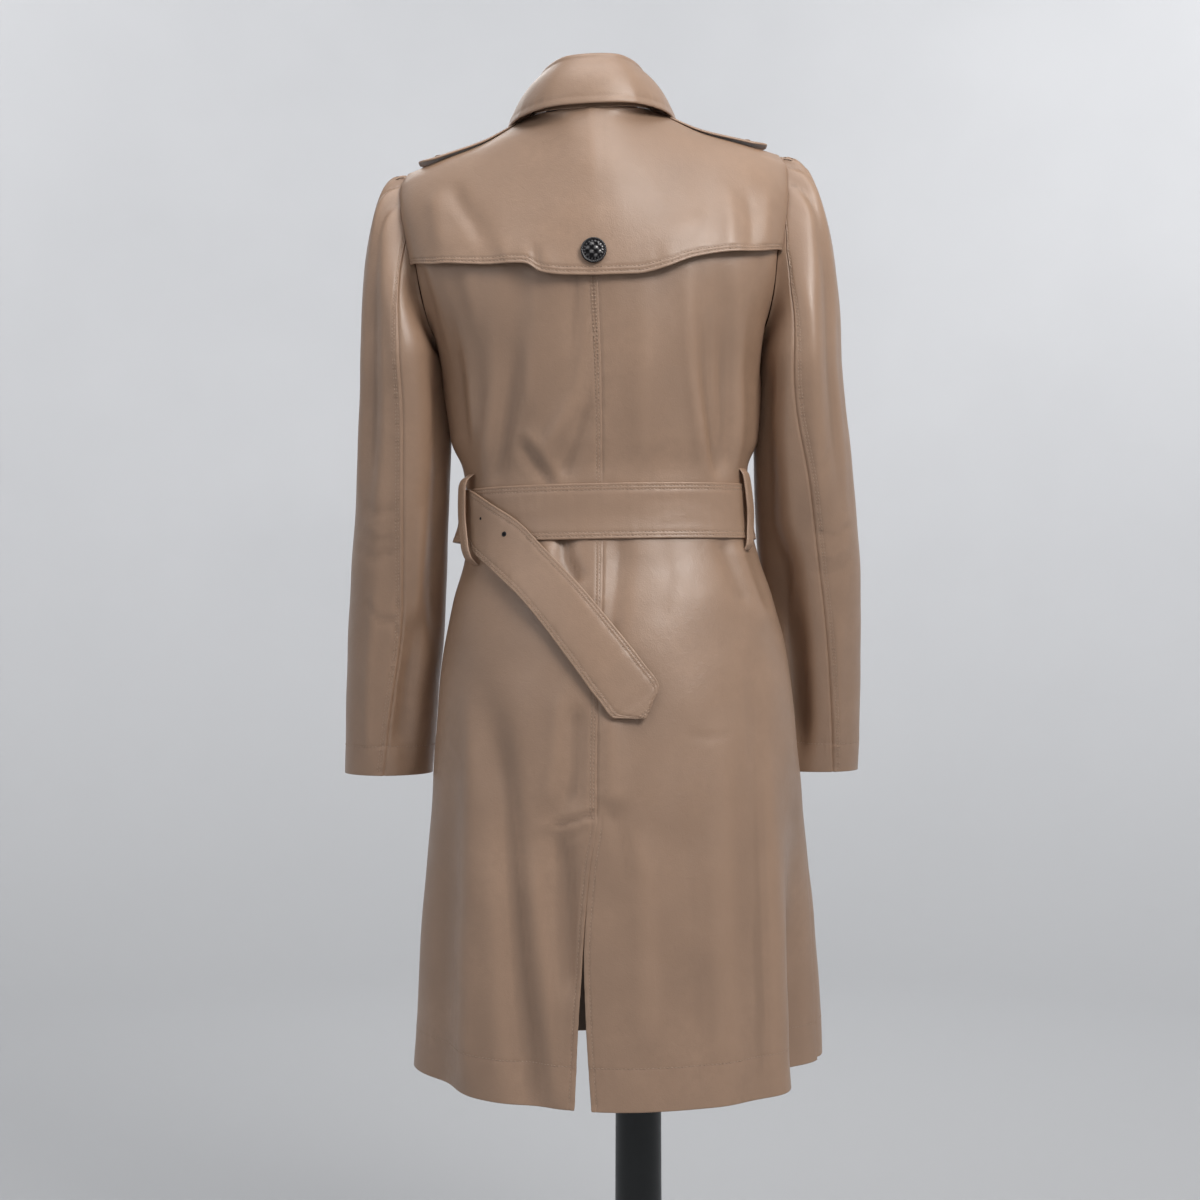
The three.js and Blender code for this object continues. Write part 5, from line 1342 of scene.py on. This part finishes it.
def belt_surface(angle, share, lift):
    """The waist section at its own offset, with four stitch channels and soft lengthwise creases."""
    angle, share = np.broadcast_arrays(np.asarray(angle, float), np.asarray(share, float))
    out = sum(groove((share - row) * BELT_HEIGHT, 0.5, 1.0) for row in STITCH_SHARES)
    wave = crease(wrap(angle), share * 54,
                  [(w, d, [(a, s * 54) for a, s in path]) for w, d, path in BELT_CREASES])
    ends = np.minimum(np.minimum(share, 1 - share) * BELT_HEIGHT, 8)
    out = out + wave * ends / 8 + pucker(angle * 2.1, ends - 4, 5, 0.2) - 0.25 * np.exp(-(ends / 1.5) ** 2)
    return belt_point(angle, share, LAYER + out + lift)


belt_shares = np.concatenate([BELT_ROWS, BELT_HEIGHT - BELT_ROWS[::-1]]) / BELT_HEIGHT
belt_angles = BUCKLE_ANGLE - 360 + BELT_END_TURN + (360 - 2 * BELT_END_TURN) * np.linspace(0, 1, 260)
grid = np.meshgrid(belt_angles, belt_shares)
piece = shell("belt_leather_strip", belt_surface(*grid, 0.0), belt_surface(*grid, -WALL),
              [BELT_LEATHER, BELT_LEATHER])
rows = [stitch_path(belt_surface, belt_angles[1:-1], share) for share in STITCH_SHARES]
thread = stitches("belt_stitches", rows, THREAD)
cloth(piece, "belt", 0.0435, [thread])

# %% Belt's hanging end
TAIL = np.array([
    [133, 1016, 133, 951, 7.5], [113, 1001, 121, 939, 9], [88, 981, 107, 924, 10], [65, 953, 90, 907, 11],
    [31, 913, 71, 883, 9], [2, 877, 41, 841, 8], [-23, 844, 16.5, 806, 7], [-39.5, 818, 1.5, 789, 7],
    [-33.5, 803, -14, 788.5, 7], [-29, 792, -25.5, 788, 7]])
SIDE_ANGLES = np.array([177, 169, 160, 150, 140, 130, 120, 110, 102, 95, 88, 81, 75, 70.0])
TAIL_SLACK = 0.5
TAIL_UPS = np.linspace(0, 1, 9)


def tail_control(lift):
    """Rows of the strap: round the side at belt height with a flare, then down across the back."""
    angle, up = np.meshgrid(SIDE_ANGLES, TAIL_UPS, indexing="ij")
    flare = 9 * np.exp(-(((angle - 86) / 14) ** 2)) * (1 - up) ** 1.5
    side_rows = belt_point(angle, up, 2 * LAYER + TAIL_SLACK + flare + lift)
    top_x, top_z, low_x, low_z, out = (column[:, None] for column in TAIL.T)
    x = low_x + (top_x - low_x) * TAIL_UPS
    z = low_z + (top_z - low_z) * TAIL_UPS
    return np.concatenate([side_rows, on_back(x, z, out + lift)])


TAIL_OUTER, TAIL_INNER = tail_control(0.0), tail_control(-WALL)
TAIL_WIDTH = 58.0
TAIL_CREASES = [(0.8, 1.2, [(14.6, 0.2), (15.6, 0.5), (16.6, 0.9)]),
                (0.5, -0.9, [(16.2, 0.15), (17.4, 0.5), (18.4, 0.85)]),
                (0.6, 0.8, [(18.6, 0.2), (19.4, 0.6), (20.2, 0.8)]),
                (0.35, -0.8, [(20.6, 0.2), (20.9, 0.5), (21.2, 0.8)])]


def tail_surface(station, up, lift):
    """Smooth between the rows and straight across them; the tip keeps its clipped corners."""
    station, up = np.broadcast_arrays(np.asarray(station, float), np.asarray(up, float))
    flat_station, flat_up = station.ravel(), up.ravel()
    column = np.minimum((flat_up * 8).astype(int), 7)
    share = (flat_up * 8 - column)[:, None]
    each = np.arange(len(flat_station))
    points = []
    for control in (TAIL_OUTER, TAIL_INNER):
        row = curve(np.arange(len(control)), control, flat_station)
        points.append(row[each, column] * (1 - share) + row[each, column + 1] * share)
    normal = unit(points[0] - points[1])
    ends = np.minimum(np.minimum(flat_up, 1 - flat_up) * TAIL_WIDTH, TAIL_WIDTH)
    out = sum(groove(ends - row, 0.5, 1.0) for row in BELT_STITCHES)
    out = out + 0.6 * crease(flat_station, flat_up, TAIL_CREASES) * np.minimum(ends / 14, 1)
    out = out + pucker(flat_station * 22, ends - 4, 5, 0.22) - 0.25 * np.exp(-(ends / 1.5) ** 2)
    return (points[0] + normal * (out + lift)[:, None]).reshape(*station.shape, 3)


tail_stations = np.concatenate([
    np.linspace(0, 13, 74)[:-1], np.linspace(13, 21, 96)[:-1], np.linspace(21, 23, 16)])
tail_ups = np.concatenate([
    BELT_ROWS[:10], [9, 13, 19], 58 - np.array([19, 13, 9.0]), 58 - BELT_ROWS[:10][::-1]]) / 58
tail_ups[0], tail_ups[-1] = 0, 1
grid = np.meshgrid(tail_ups, tail_stations)
tail_outer = tail_surface(grid[1], grid[0], 0.0)
piece = shell("belt_tail_leather", tail_outer, tail_surface(grid[1], grid[0], -WALL),
              [BELT_LEATHER, BELT_LEATHER])
run = np.linspace(0.1, 20.85, 700)
rows = [stitch_path(tail_surface, run, share) for row in BELT_STITCHES for share in (row / 58, 1 - row / 58)]
for row in BELT_STITCHES:
    tip = np.linspace(row / 58, 1 - row / 58, 60)
    rows.append(stitch_path(tail_surface, np.full(60, 22.9 - row * 0.09), tip))
thread = stitches("belt_tail_stitches", rows, THREAD)
cloth(piece, "belt_tail", 0.0265, [thread])

# %% [markdown]
# The two loops are narrow folded strips, caught in at both ends and bowed over the belt.

# %% Loops
LOOP = table("share left right", [[0, 0.8, 0.8], [0.06, 9.5, 4.5], [0.18, 13, 6], [0.5, 14, 8], [0.86, 12, 6],
                                  [0.94, 9, 4.5], [1, 0.8, 0.8]])
LOOP_X, LOOP_HALF, LOOP_THICK, LOOP_HIGH_Z = 137.0, 3.0, 1.6, 1034.0


def loop_surface(side, across, share, lift):
    """A strip that leaves the coat at its lower end, bows out, and comes back at its upper end."""
    low = 940.0 if side > 0 else 952.0
    x = side * LOOP_X + (across - 0.5) * 2 * LOOP_HALF
    bow = read(LOOP, "left" if side > 0 else "right", share)
    return on_back(x, low + (LOOP_HIGH_Z - low) * share, WALL + bow - 0.5 * (2 * across - 1) ** 6 + lift)


for side, hand in ((1, "left"), (-1, "right")):
    shares = np.concatenate([np.linspace(0, 0.1, 9), np.linspace(0.12, 0.88, 34), np.linspace(0.9, 1, 9)])
    grid = np.meshgrid(np.linspace(0, 1, 13), shares)
    piece = shell(f"belt_loop_{hand}_leather",
                  loop_surface(side, *grid, 0.0), loop_surface(side, *grid, -LOOP_THICK),
                  [BELT_LEATHER, BELT_LEATHER])
    run = np.linspace(0.08, 0.92, 80)
    rows = [stitch_path(lambda a, b, lift, side=side: loop_surface(side, a, b, lift), np.full(80, edge), run)
            for edge in (0.2, 0.8)]
    thread = stitches(f"belt_loop_{hand}_stitches", rows, THREAD, 0.34)
    cloth(piece, f"belt_loop_{hand}", 0.0017, [thread])

# %% [markdown]
# ## Rings with closed ends
# Buttons, the dress form, its post and its base are rows of rings. Each row is computed as a whole
# array, and a middle point closes each end.

# %% Closed rings
def closed_rings(name, rings, materials, nodes, crease_value=None):
    """Joins rings (rows, columns, 3) into a closed body with a fan at each end."""
    rows, columns = rings.shape[:2]
    number = np.arange(rows * columns).reshape(rows, columns)
    after = np.roll(number, -1, axis=1)
    side = np.stack([number[:-1], after[:-1], after[1:], number[1:]], -1).reshape(-1, 4)
    first, last = rows * columns, rows * columns + 1
    low = np.stack([after[0], number[0], number[0] * 0 + first], -1)
    high = np.stack([number[-1], after[-1], number[0] * 0 + last], -1)
    points = np.concatenate([rings.reshape(-1, 3), rings[0].mean(0)[None], rings[-1].mean(0)[None]])
    a, b, c = (points[side[:, k]] for k in (0, 1, 2))
    is_outward = np.einsum("ij,ij->", a - points.mean(0), np.cross(b - a, c - a)) > 0
    faces = side.tolist() + low.tolist() + high.tolist()
    faces = faces if is_outward else [face[::-1] for face in faces]
    mesh = bpy.data.meshes.new(name)
    mesh.from_pydata(points / 1000, [], faces)
    mesh.polygons.foreach_set("use_smooth", np.ones(len(mesh.polygons), bool))
    for material in materials:
        mesh.materials.append(material)
    if crease_value is not None:
        layer = mesh.attributes.new("wear", "FLOAT", "POINT")
        ends = [crease_value[0].mean(), crease_value[-1].mean()]
        layer.data.foreach_set("value", np.append(crease_value.ravel(), ends).astype(np.float32))
    piece = bpy.data.objects.new(name, mesh)
    bpy.context.scene.collection.objects.link(piece)
    return declare(piece, nodes)


# %% [markdown]
# ## Buttons
# Cast metal buttons with a twisted rope rim and a small woven relief, blackened in the hollows and
# rubbed bright on the high parts. The relief is a turned profile whose height changes round the
# middle, and the rubbed parts follow that height. The epaulettes' small buttons are covered in leather,
# so they have the same profile without the relief.

# %% Button material and form
def button_metal():
    """Blackened metal that is bare and brighter where its relief stands high."""
    material, tree, shader, where = start_material("blackened_metal")
    high = node(tree, "ShaderNodeAttribute", attribute_name="wear").outputs["Fac"]
    speckle = noise(tree, where, 900, 4, 0.7)
    tone = blend(tree, high, (0.012, 0.011, 0.012), (0.30, 0.29, 0.285), 0.45, 1.0)
    mottled = blend(tree, speckle, (0.006, 0.006, 0.006), tone, 0.15, 0.5)
    tree.links.new(mottled, shader.inputs["Base Color"])
    tree.links.new(ranged(tree, speckle, 0.3, 0.7, 0.22, 0.42), shader.inputs["Roughness"])
    shader.inputs["Metallic"].default_value = 0.85
    add_bumps(tree, shader, [(speckle, 0.3, 0.0001)])
    return material


METAL = button_metal()
BUTTON_RADIUS = 12.7
EPAULETTE_BUTTON_RADIUS = 6.0
BUTTON_PROFILE = table("share radius height", [
    [0, 0.02, 0], [0.06, 0.34, 0.0], [0.12, 0.35, 0.9], [0.18, 0.36, 1.8], [0.3, 0.97, 2.45],
    [0.36, 1.0, 3.1],
    [0.42, 0.985, 3.9], [0.48, 0.93, 4.35], [0.54, 0.87, 4.3], [0.6, 0.80, 3.9], [0.7, 0.62, 4.5],
    [0.82, 0.38, 5.0],
    [0.92, 0.16, 5.25], [1, 0.02, 5.35]])


def button(name, node_name, radius, seat, outward, material=METAL, slot="button_metal"):
    """A turned profile; rope: a wave round the rim that slants with the radius; weave: two waves that
    cross in the middle."""
    share = np.concatenate([np.linspace(0, 0.3, 10)[:-1], np.linspace(0.3, 1, 46)])
    turn = np.linspace(0, 2 * np.pi, 96, endpoint=False)
    s, t = np.meshgrid(share, turn, indexing="ij")
    r, h = read(BUTTON_PROFILE, "radius", s), read(BUTTON_PROFILE, "height", s)
    on_top = s > 0.42
    rope = np.exp(-((r - 0.91) / 0.055) ** 2) * on_top * np.cos(30 * t + 26 * (r - 0.91) * 2.2)
    u, v = r * np.cos(t), r * np.sin(t)
    weave = np.sin(u * 10) * np.sin(v * 10)
    middle = np.exp(-((r / 0.6) ** 8)) * on_top
    petals = np.exp(-((r - 0.70) / 0.05) ** 2) * on_top * np.cos(18 * t)
    relief = (0.34 * rope + 0.36 * weave * middle + 0.2 * petals) * (material is METAL)
    height = (h + relief) * (radius / BUTTON_RADIUS) ** 1.8
    high = np.clip(0.5 + 0.9 * relief / 0.36 * 0.5, 0, 1) * on_top + 0.42 * (s > 0.3) * ~on_top
    axis = unit(np.asarray(outward))
    first = unit(np.cross(axis, [0, 0, 1.0]))
    second = np.cross(axis, first)
    rings = (np.asarray(seat) + (first * u[..., None] + second * v[..., None]) * radius
             + axis * height[..., None])
    return closed_rings(name, rings, [material], [node_name], high if material is METAL else None)


def seat_on(surface):
    """Where a button stands, a little above the cloth, and the way it faces."""
    return surface(0.6), surface(10.0) - surface(0.0)


button("storm_flap_button_metal", "storm_flap_button", BUTTON_RADIUS,
       *seat_on(lambda lift: on_back(3.0, 1243.0, LAYER + 2.2 + lift)))
for side, hand in ((1, "left"), (-1, "right")):
    spot = lambda lift: epaulette_surface(side, np.float64(158), np.float64(0), lift - 1.2)
    button(f"epaulette_button_{hand}_cover", f"epaulette_button_{hand}", EPAULETTE_BUTTON_RADIUS,
           *seat_on(spot), LEATHER, "leather")
for row, z in enumerate((1132.0, 1058.0, 893.0)):
    for k, (x, sink) in enumerate(((BUTTON_COLUMN, 0.35), (-BUTTON_COLUMN, 0.6))):
        name = f"front_button_{2 * row + k + 1}"
        button(name + "_metal", name, BUTTON_RADIUS, *seat_on(lambda lift: on_front(x, z, lift - sink)))
print("buttons", sum("button" in piece.name for piece in made))

# %% [markdown]
# ## Buckle and eyelets
# The buckle is a frame covered in the belt's leather: a full oval profile carried round a rounded
# rectangle, bent to the waist, and its prong is covered too. Two eyelets are pressed into the hanging end.

# %% Buckle, prong and eyelets
BUCKLE_X, BUCKLE_Z, BUCKLE_OUT = -7.0, (BELT_LOW_Z + BELT_HIGH_Z) / 2, 2 * LAYER + TAIL_SLACK + 0.5


def rounded_rectangle(half_width, half_height, radius, count):
    """Equal steps round four straight sides and four quarter circles."""
    straight = [2 * (half_width - radius), 2 * (half_height - radius)]
    corner = radius * math.pi / 2
    half_round = [straight[1], corner, straight[0], corner]
    lengths = np.cumsum([0] + half_round + half_round)
    at = np.linspace(0, lengths[-1], count, endpoint=False)
    x = [half_width, half_width, half_width - radius, radius - half_width, -half_width, -half_width,
         radius - half_width, half_width - radius, half_width]
    z = [radius - half_height, half_height - radius, half_height, half_height, half_height - radius,
         radius - half_height, -half_height, -half_height, radius - half_height]
    piece = np.clip(np.searchsorted(lengths, at, side="right") - 1, 0, 7)
    share = (at - lengths[piece]) / (lengths[piece + 1] - lengths[piece])
    x, z = np.array(x), np.array(z)
    u, v = x[piece] + (x[piece + 1] - x[piece]) * share, z[piece] + (z[piece + 1] - z[piece]) * share
    turn = (piece // 2 + share) * np.pi / 2
    centre_x = np.sign(x[piece] + x[piece + 1]) * (half_width - radius)
    centre_z = np.sign(z[piece] + z[piece + 1]) * (half_height - radius)
    is_corner = piece % 2 == 1
    u = np.where(is_corner, centre_x + radius * np.cos(turn), u)
    v = np.where(is_corner, centre_z + radius * np.sin(turn), v)
    along = np.stack([np.roll(u, -1) - np.roll(u, 1), np.roll(v, -1) - np.roll(v, 1)], -1)
    return u, v, unit(np.stack([along[:, 1], -along[:, 0]], -1))


def buckle():
    """An oval 9 wide and 5 high carried round the frame's middle line, then bent on the front."""
    u, v, outward = rounded_rectangle(28.5, 32.5, 8, 168)
    phi = np.linspace(0, 2 * np.pi, 20, endpoint=False)
    wide, high = 4.4 * power(np.cos(phi), 0.8), 2.45 * power(np.sin(phi), 0.8)
    x = BUCKLE_X + u[:, None] + outward[:, :1] * wide
    z = BUCKLE_Z + v[:, None] + outward[:, 1:] * wide
    seam = 0.18 * np.sin(np.arange(168)[:, None] * 0.9) * (np.abs(wide) > 3.4)
    points = on_front(x, z, BUCKLE_OUT + 2.5 + high + seam)
    number = np.arange(168 * 20).reshape(168, 20)
    right, up = np.roll(number, -1, 0), np.roll(number, -1, 1)
    faces = np.stack([number, right, np.roll(right, -1, 1), up], -1).reshape(-1, 4)
    return write_mesh("buckle_frame", points.reshape(-1, 3), faces, [BELT_LEATHER])


declare(buckle(), ["buckle"])
share = np.linspace(0, 1, 40)[:, None]
phi = np.linspace(0, 2 * np.pi, 16, endpoint=False)[None]
swell = np.clip(np.minimum(share, 1 - share) / 0.04, 0, 1) ** 0.5 * (1 - 0.25 * share)
prong = on_front(BUCKLE_X - 23 + 46 * share + 0 * phi, BUCKLE_Z + 2.4 * swell * np.cos(phi),
                 BUCKLE_OUT + 1.5 + 1.45 * swell * np.sin(phi))
closed_rings("buckle_prong_bar", prong, [BELT_LEATHER], ["buckle_prong"])

EYELET = table("step radius height wear", [
    [0, 0.05, 0.12, 0], [1, 1.2, 0.12, 0], [2, 1.4, 0.2, 0.2], [3, 1.7, 0.5, 0.55], [4, 2.3, 0.45, 0.5],
    [5, 2.7, 0.1, 0.4], [6, 2.8, -0.6, 0.2]])
first_hanging = np.searchsorted(tail_stations, 13)
hanging = tail_outer[first_hanging:]
for k, (x, z, size) in enumerate(((138.0, 964.0, 1.0), (163.0, 982.0, 0.6))):
    away = np.linalg.norm(hanging[..., [0, 2]] - (x, z), axis=-1)
    nearest = np.unravel_index(np.argmin(away), away.shape)
    spot = (tail_stations[first_hanging + nearest[0]], tail_ups[nearest[1]])
    eye, eye_out = tail_surface(*spot, 0.0), unit(tail_surface(*spot, 1.0) - tail_surface(*spot, 0.0))
    eye_side = unit(np.cross(eye_out, [0, 0, 1.0]))
    eye_up = np.cross(eye_out, eye_side)
    turn = np.linspace(0, 2 * np.pi, 32, endpoint=False)
    ring_r, ring_h = EYELET["radius"][:, None, None] * size, EYELET["height"][:, None, None] * size
    rings = (eye + (eye_side * np.cos(turn)[:, None] + eye_up * np.sin(turn)[:, None]) * ring_r
             + eye_out * ring_h)
    closed_rings(f"belt_eyelet_{k + 1}", rings, [METAL], [],
                 np.repeat(EYELET["wear"][:, None], 32, 1))

# %% [markdown]
# ## The dress form, its post and its base
# A limbless form covered in black jersey, with the seams that a form has, on a painted steel post
# and a round foot. Little of it shows, so it stays plain, but it closes every opening of the coat.

# %% Form materials
def jersey():
    """Knitted jersey: tiny crossing ribs, soft sheen, a little lint."""
    material, tree, shader, where = start_material("black_jersey")
    ribs = node(tree, "ShaderNodeTexWave", {"Scale": 420.0, "Distortion": 1.2}, bands_direction="Z")
    cross = node(tree, "ShaderNodeTexWave", {"Scale": 420.0, "Distortion": 1.2}, bands_direction="X")
    for wave in (ribs, cross):
        tree.links.new(where, wave.inputs["Vector"])
    lint = noise(tree, where, 180, 5, 0.7)
    tone = blend(tree, lint, (0.012, 0.012, 0.013), (0.035, 0.034, 0.036), 0.35, 0.75)
    tree.links.new(tone, shader.inputs["Base Color"])
    tree.links.new(ranged(tree, lint, 0.3, 0.7, 0.75, 0.92), shader.inputs["Roughness"])
    shader.inputs["Sheen Weight"].default_value = 0.35
    add_bumps(tree, shader, [(ribs.outputs["Fac"], 0.3, 0.0002), (cross.outputs["Fac"], 0.3, 0.0002)])
    return material


def powder_coat():
    """Black powder coat: orange peel and faint dust."""
    material, tree, shader, where = start_material("black_powder_coat")
    dust = noise(tree, where, 40, 5, 0.65)
    tone = blend(tree, dust, (0.004, 0.0055, 0.006), (0.009, 0.011, 0.012), 0.35, 0.8)
    tree.links.new(tone, shader.inputs["Base Color"])
    tree.links.new(ranged(tree, dust, 0.3, 0.7, 0.34, 0.46), shader.inputs["Roughness"])
    add_bumps(tree, shader, [(noise(tree, where, 1100, 2), 0.2, 0.0001)])
    return material


JERSEY, POWDER = jersey(), powder_coat()

# %% Form
FORM = table("z half back front square", [
    [742, 118, 78, 78, 2.1], [748, 128, 88, 86, 2.1], [800, 158, 112, 108, 2.1], [850, 160, 112, 109, 2.15],
    [903, 148, 100, 102, 2.15], [950, 133, 86, 92, 2.2], [1000, 128, 79, 90, 2.2], [1060, 138, 86, 100, 2.2],
    [1110, 148, 95, 114, 2.2], [1165, 154, 103, 123, 2.2], [1215, 158, 108, 118, 2.2],
    [1260, 163, 106, 104, 2.2],
    [1300, 166, 96, 84, 2.1], [1325, 164, 84, 66, 2.0], [1340, 154, 76, 56, 1.9], [1352, 130, 68, 50, 1.85],
    [1364, 92, 60, 42, 1.9], [1376, 64, 56, 42, 1.95], [1392, 52, 53, 43, 2.0], [1420, 47, 48, 46, 2.0],
    [1446, 44, 45, 45, 2.0], [1452, 40, 41, 41, 2.0]])
FORM_SEAMS = (0, 38, 90, 142, 180, -142, -90, -38)
form_z = np.concatenate([[742, 742.6, 744, 746], np.arange(748, 1450, 6.0), [1449, 1450.5, 1451.5, 1452]])
turn, z = np.meshgrid(np.linspace(-180, 180, 120, endpoint=False), form_z)
seams = sum(-0.5 * np.exp(-((wrap(turn - seam) / 0.9) ** 2)) for seam in FORM_SEAMS)
ledge = -1.0 * np.exp(-(((z - 1436) / 1.4) ** 2))
exponent = 2 / read(FORM, "square", z)
half = read(FORM, "half", z) + seams + ledge
deep = np.where(cosine(turn) > 0, read(FORM, "back", z), read(FORM, "front", z)) + seams + ledge
torso = place(half * power(sine(turn), exponent), deep * power(cosine(turn), exponent), z)
inset = torso[[0, -1]].mean(1, keepdims=True) + (torso[[0, -1]] - torso[[0, -1]].mean(1, keepdims=True)) * 0.9
closed_rings("form_torso_jersey", np.concatenate([inset[:1], torso, inset[1:]]), [JERSEY],
             ["form_torso"])


def turned(name, profile, columns, nodes):
    """A profile of radius and height turned about the vertical axis at the origin."""
    radius, height = np.array(profile, float).T
    turn = np.linspace(0, 2 * np.pi, columns, endpoint=False)
    rings = np.stack([radius[:, None] * np.cos(turn), radius[:, None] * np.sin(turn),
                      height[:, None] + 0 * turn], -1)
    return closed_rings(name, rings, [POWDER], nodes)


POST_TOP_Z, POST_FOOT_Z = 741.1, 24.3
post = [(22, POST_FOOT_Z), (27.6, POST_FOOT_Z), (28, 26), (28, 34), (27.4, 36), (25.4, 37), (25, 38)]
post += [(25 - 2.5 * (z - 38) / 690, z) for z in range(60, 725, 60)]
post += [(22.6, 726), (25, 727), (25.4, 729), (25.4, 739), (25, 740.6), (22, POST_TOP_Z)]
turned("form_post_steel", post, 64, ["form_pole"])
foot = [(160, 0), (171, 0), (176, 0.7), (179, 2.4), (180, 5), (179.4, 8), (177, 10.4), (172, 12.4),
        (150, 14.2),
        (110, 16.4), (70, 18.4), (44, 20.4), (38, 22), (36, 23.6), (34, 24), (20, 24)]
turned("form_foot_steel", foot, 120, ["form_base"])

# %% [markdown]
# ## Room, light and camera
# The picture was taken in a plain pale room under soft light from windows: brighter at the upper
# right. One swept backdrop keeps the horizon out of the picture, and three large lights do the rest.

# %% Stage
def stage_material():
    """Pale wall that turns into a darker floor; height is read from the object's coordinates."""
    material, tree, shader, where = start_material("pale_backdrop")
    parts = node(tree, "ShaderNodeSeparateXYZ")
    tree.links.new(where, parts.inputs[0])
    wall = blend(tree, noise(tree, where, 1.3, 3), (0.64, 0.645, 0.66), (0.68, 0.685, 0.70), 0.3, 0.7)
    tone = blend(tree, parts.outputs["Z"], (0.46, 0.465, 0.475), wall, 0.0, 1.1)
    tree.links.new(tone, shader.inputs["Base Color"])
    shader.inputs["Roughness"].default_value = 0.92
    return material


ROOM_FLOOR, ROOM_SWEEP, ROOM_TOP = 2450.0, 1100.0, 4300.0
arc = np.radians(np.linspace(0, 90, 25))
radius = np.concatenate([[0.5, 900, 1700], ROOM_FLOOR + ROOM_SWEEP * np.sin(arc), [ROOM_FLOOR + ROOM_SWEEP]])
rise = np.concatenate([[0, 0, 0], ROOM_SWEEP * (1 - np.cos(arc)), [ROOM_TOP]])
turn = np.linspace(0, 2 * np.pi, 96, endpoint=False)
bowl = np.stack([radius[:, None] * np.cos(turn), radius[:, None] * np.sin(turn),
                 rise[:, None] + 0 * turn], -1)
number = np.arange(bowl.shape[0] * 96).reshape(-1, 96)
after = np.roll(number, -1, axis=1)
faces = np.stack([number[:-1], number[1:], after[1:], after[:-1]], -1).reshape(-1, 4)
room = write_mesh("pale_room", bowl.reshape(-1, 3), faces[:, ::-1], [stage_material()], is_closed=False)


def light(name, place_m, aim_m, size_m, watts, colour):
    """A square area light that faces a point."""
    lamp = bpy.data.lights.new(name, "AREA")
    lamp.size, lamp.energy, lamp.color = size_m, watts, colour
    made_light = bpy.data.objects.new(name, lamp)
    made_light.location = place_m
    made_light.rotation_euler = (Vector(aim_m) - Vector(place_m)).to_track_quat("-Z", "Y").to_euler()
    bpy.context.scene.collection.objects.link(made_light)


light("window_right", (-1.15, 1.6, 2.5), (0.0, 0.0, 1.1), 0.9, 37, (1.0, 0.985, 0.965))
light("window_left", (1.9, 2.0, 2.2), (0.0, 0.0, 1.0), 1.4, 7, (0.95, 0.975, 1.0))
light("wall_right", (-1.5, -1.2, 3.1), (-1.3, -3.5, 1.2), 1.2, 33, (1.0, 1.0, 1.0))
light("wall_left", (1.6, -1.2, 3.1), (1.3, -3.5, 1.2), 1.2, 21, (1.0, 1.0, 1.0))
light("window_front", (0.9, -2.3, 3.0), (0.0, 0.0, 1.0), 1.2, 13, (1.0, 0.99, 0.97))
light("ceiling", (0.0, 0.6, 3.4), (0.0, 0.0, 0.8), 1.8, 26, (1.0, 1.0, 1.0))
world = bpy.data.worlds.new("pale_world")
world.use_nodes = True
world.node_tree.nodes["Background"].inputs[0].default_value = (0.80, 0.83, 0.87, 1)
world.node_tree.nodes["Background"].inputs[1].default_value = 0.38
bpy.context.scene.world = world
bpy.context.scene.view_settings.view_transform = "Standard"

# %% Camera
lens = bpy.data.cameras.new("photo_camera")
lens.sensor_width, lens.lens = 36.0, 54.12
lens.dof.use_dof = False
camera = bpy.data.objects.new("photo_camera", lens)
camera.location = (0.040, 1.880, 0.903)
camera.rotation_euler = (math.radians(90), 0, math.radians(180))
bpy.context.scene.collection.objects.link(camera)
bpy.context.scene.camera = camera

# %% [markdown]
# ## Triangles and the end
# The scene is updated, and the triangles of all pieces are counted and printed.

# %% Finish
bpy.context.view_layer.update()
triangles = sum(len(face.vertices) - 2 for piece in made for face in piece.data.polygons)
print(len(made), "pieces", triangles, "triangles")
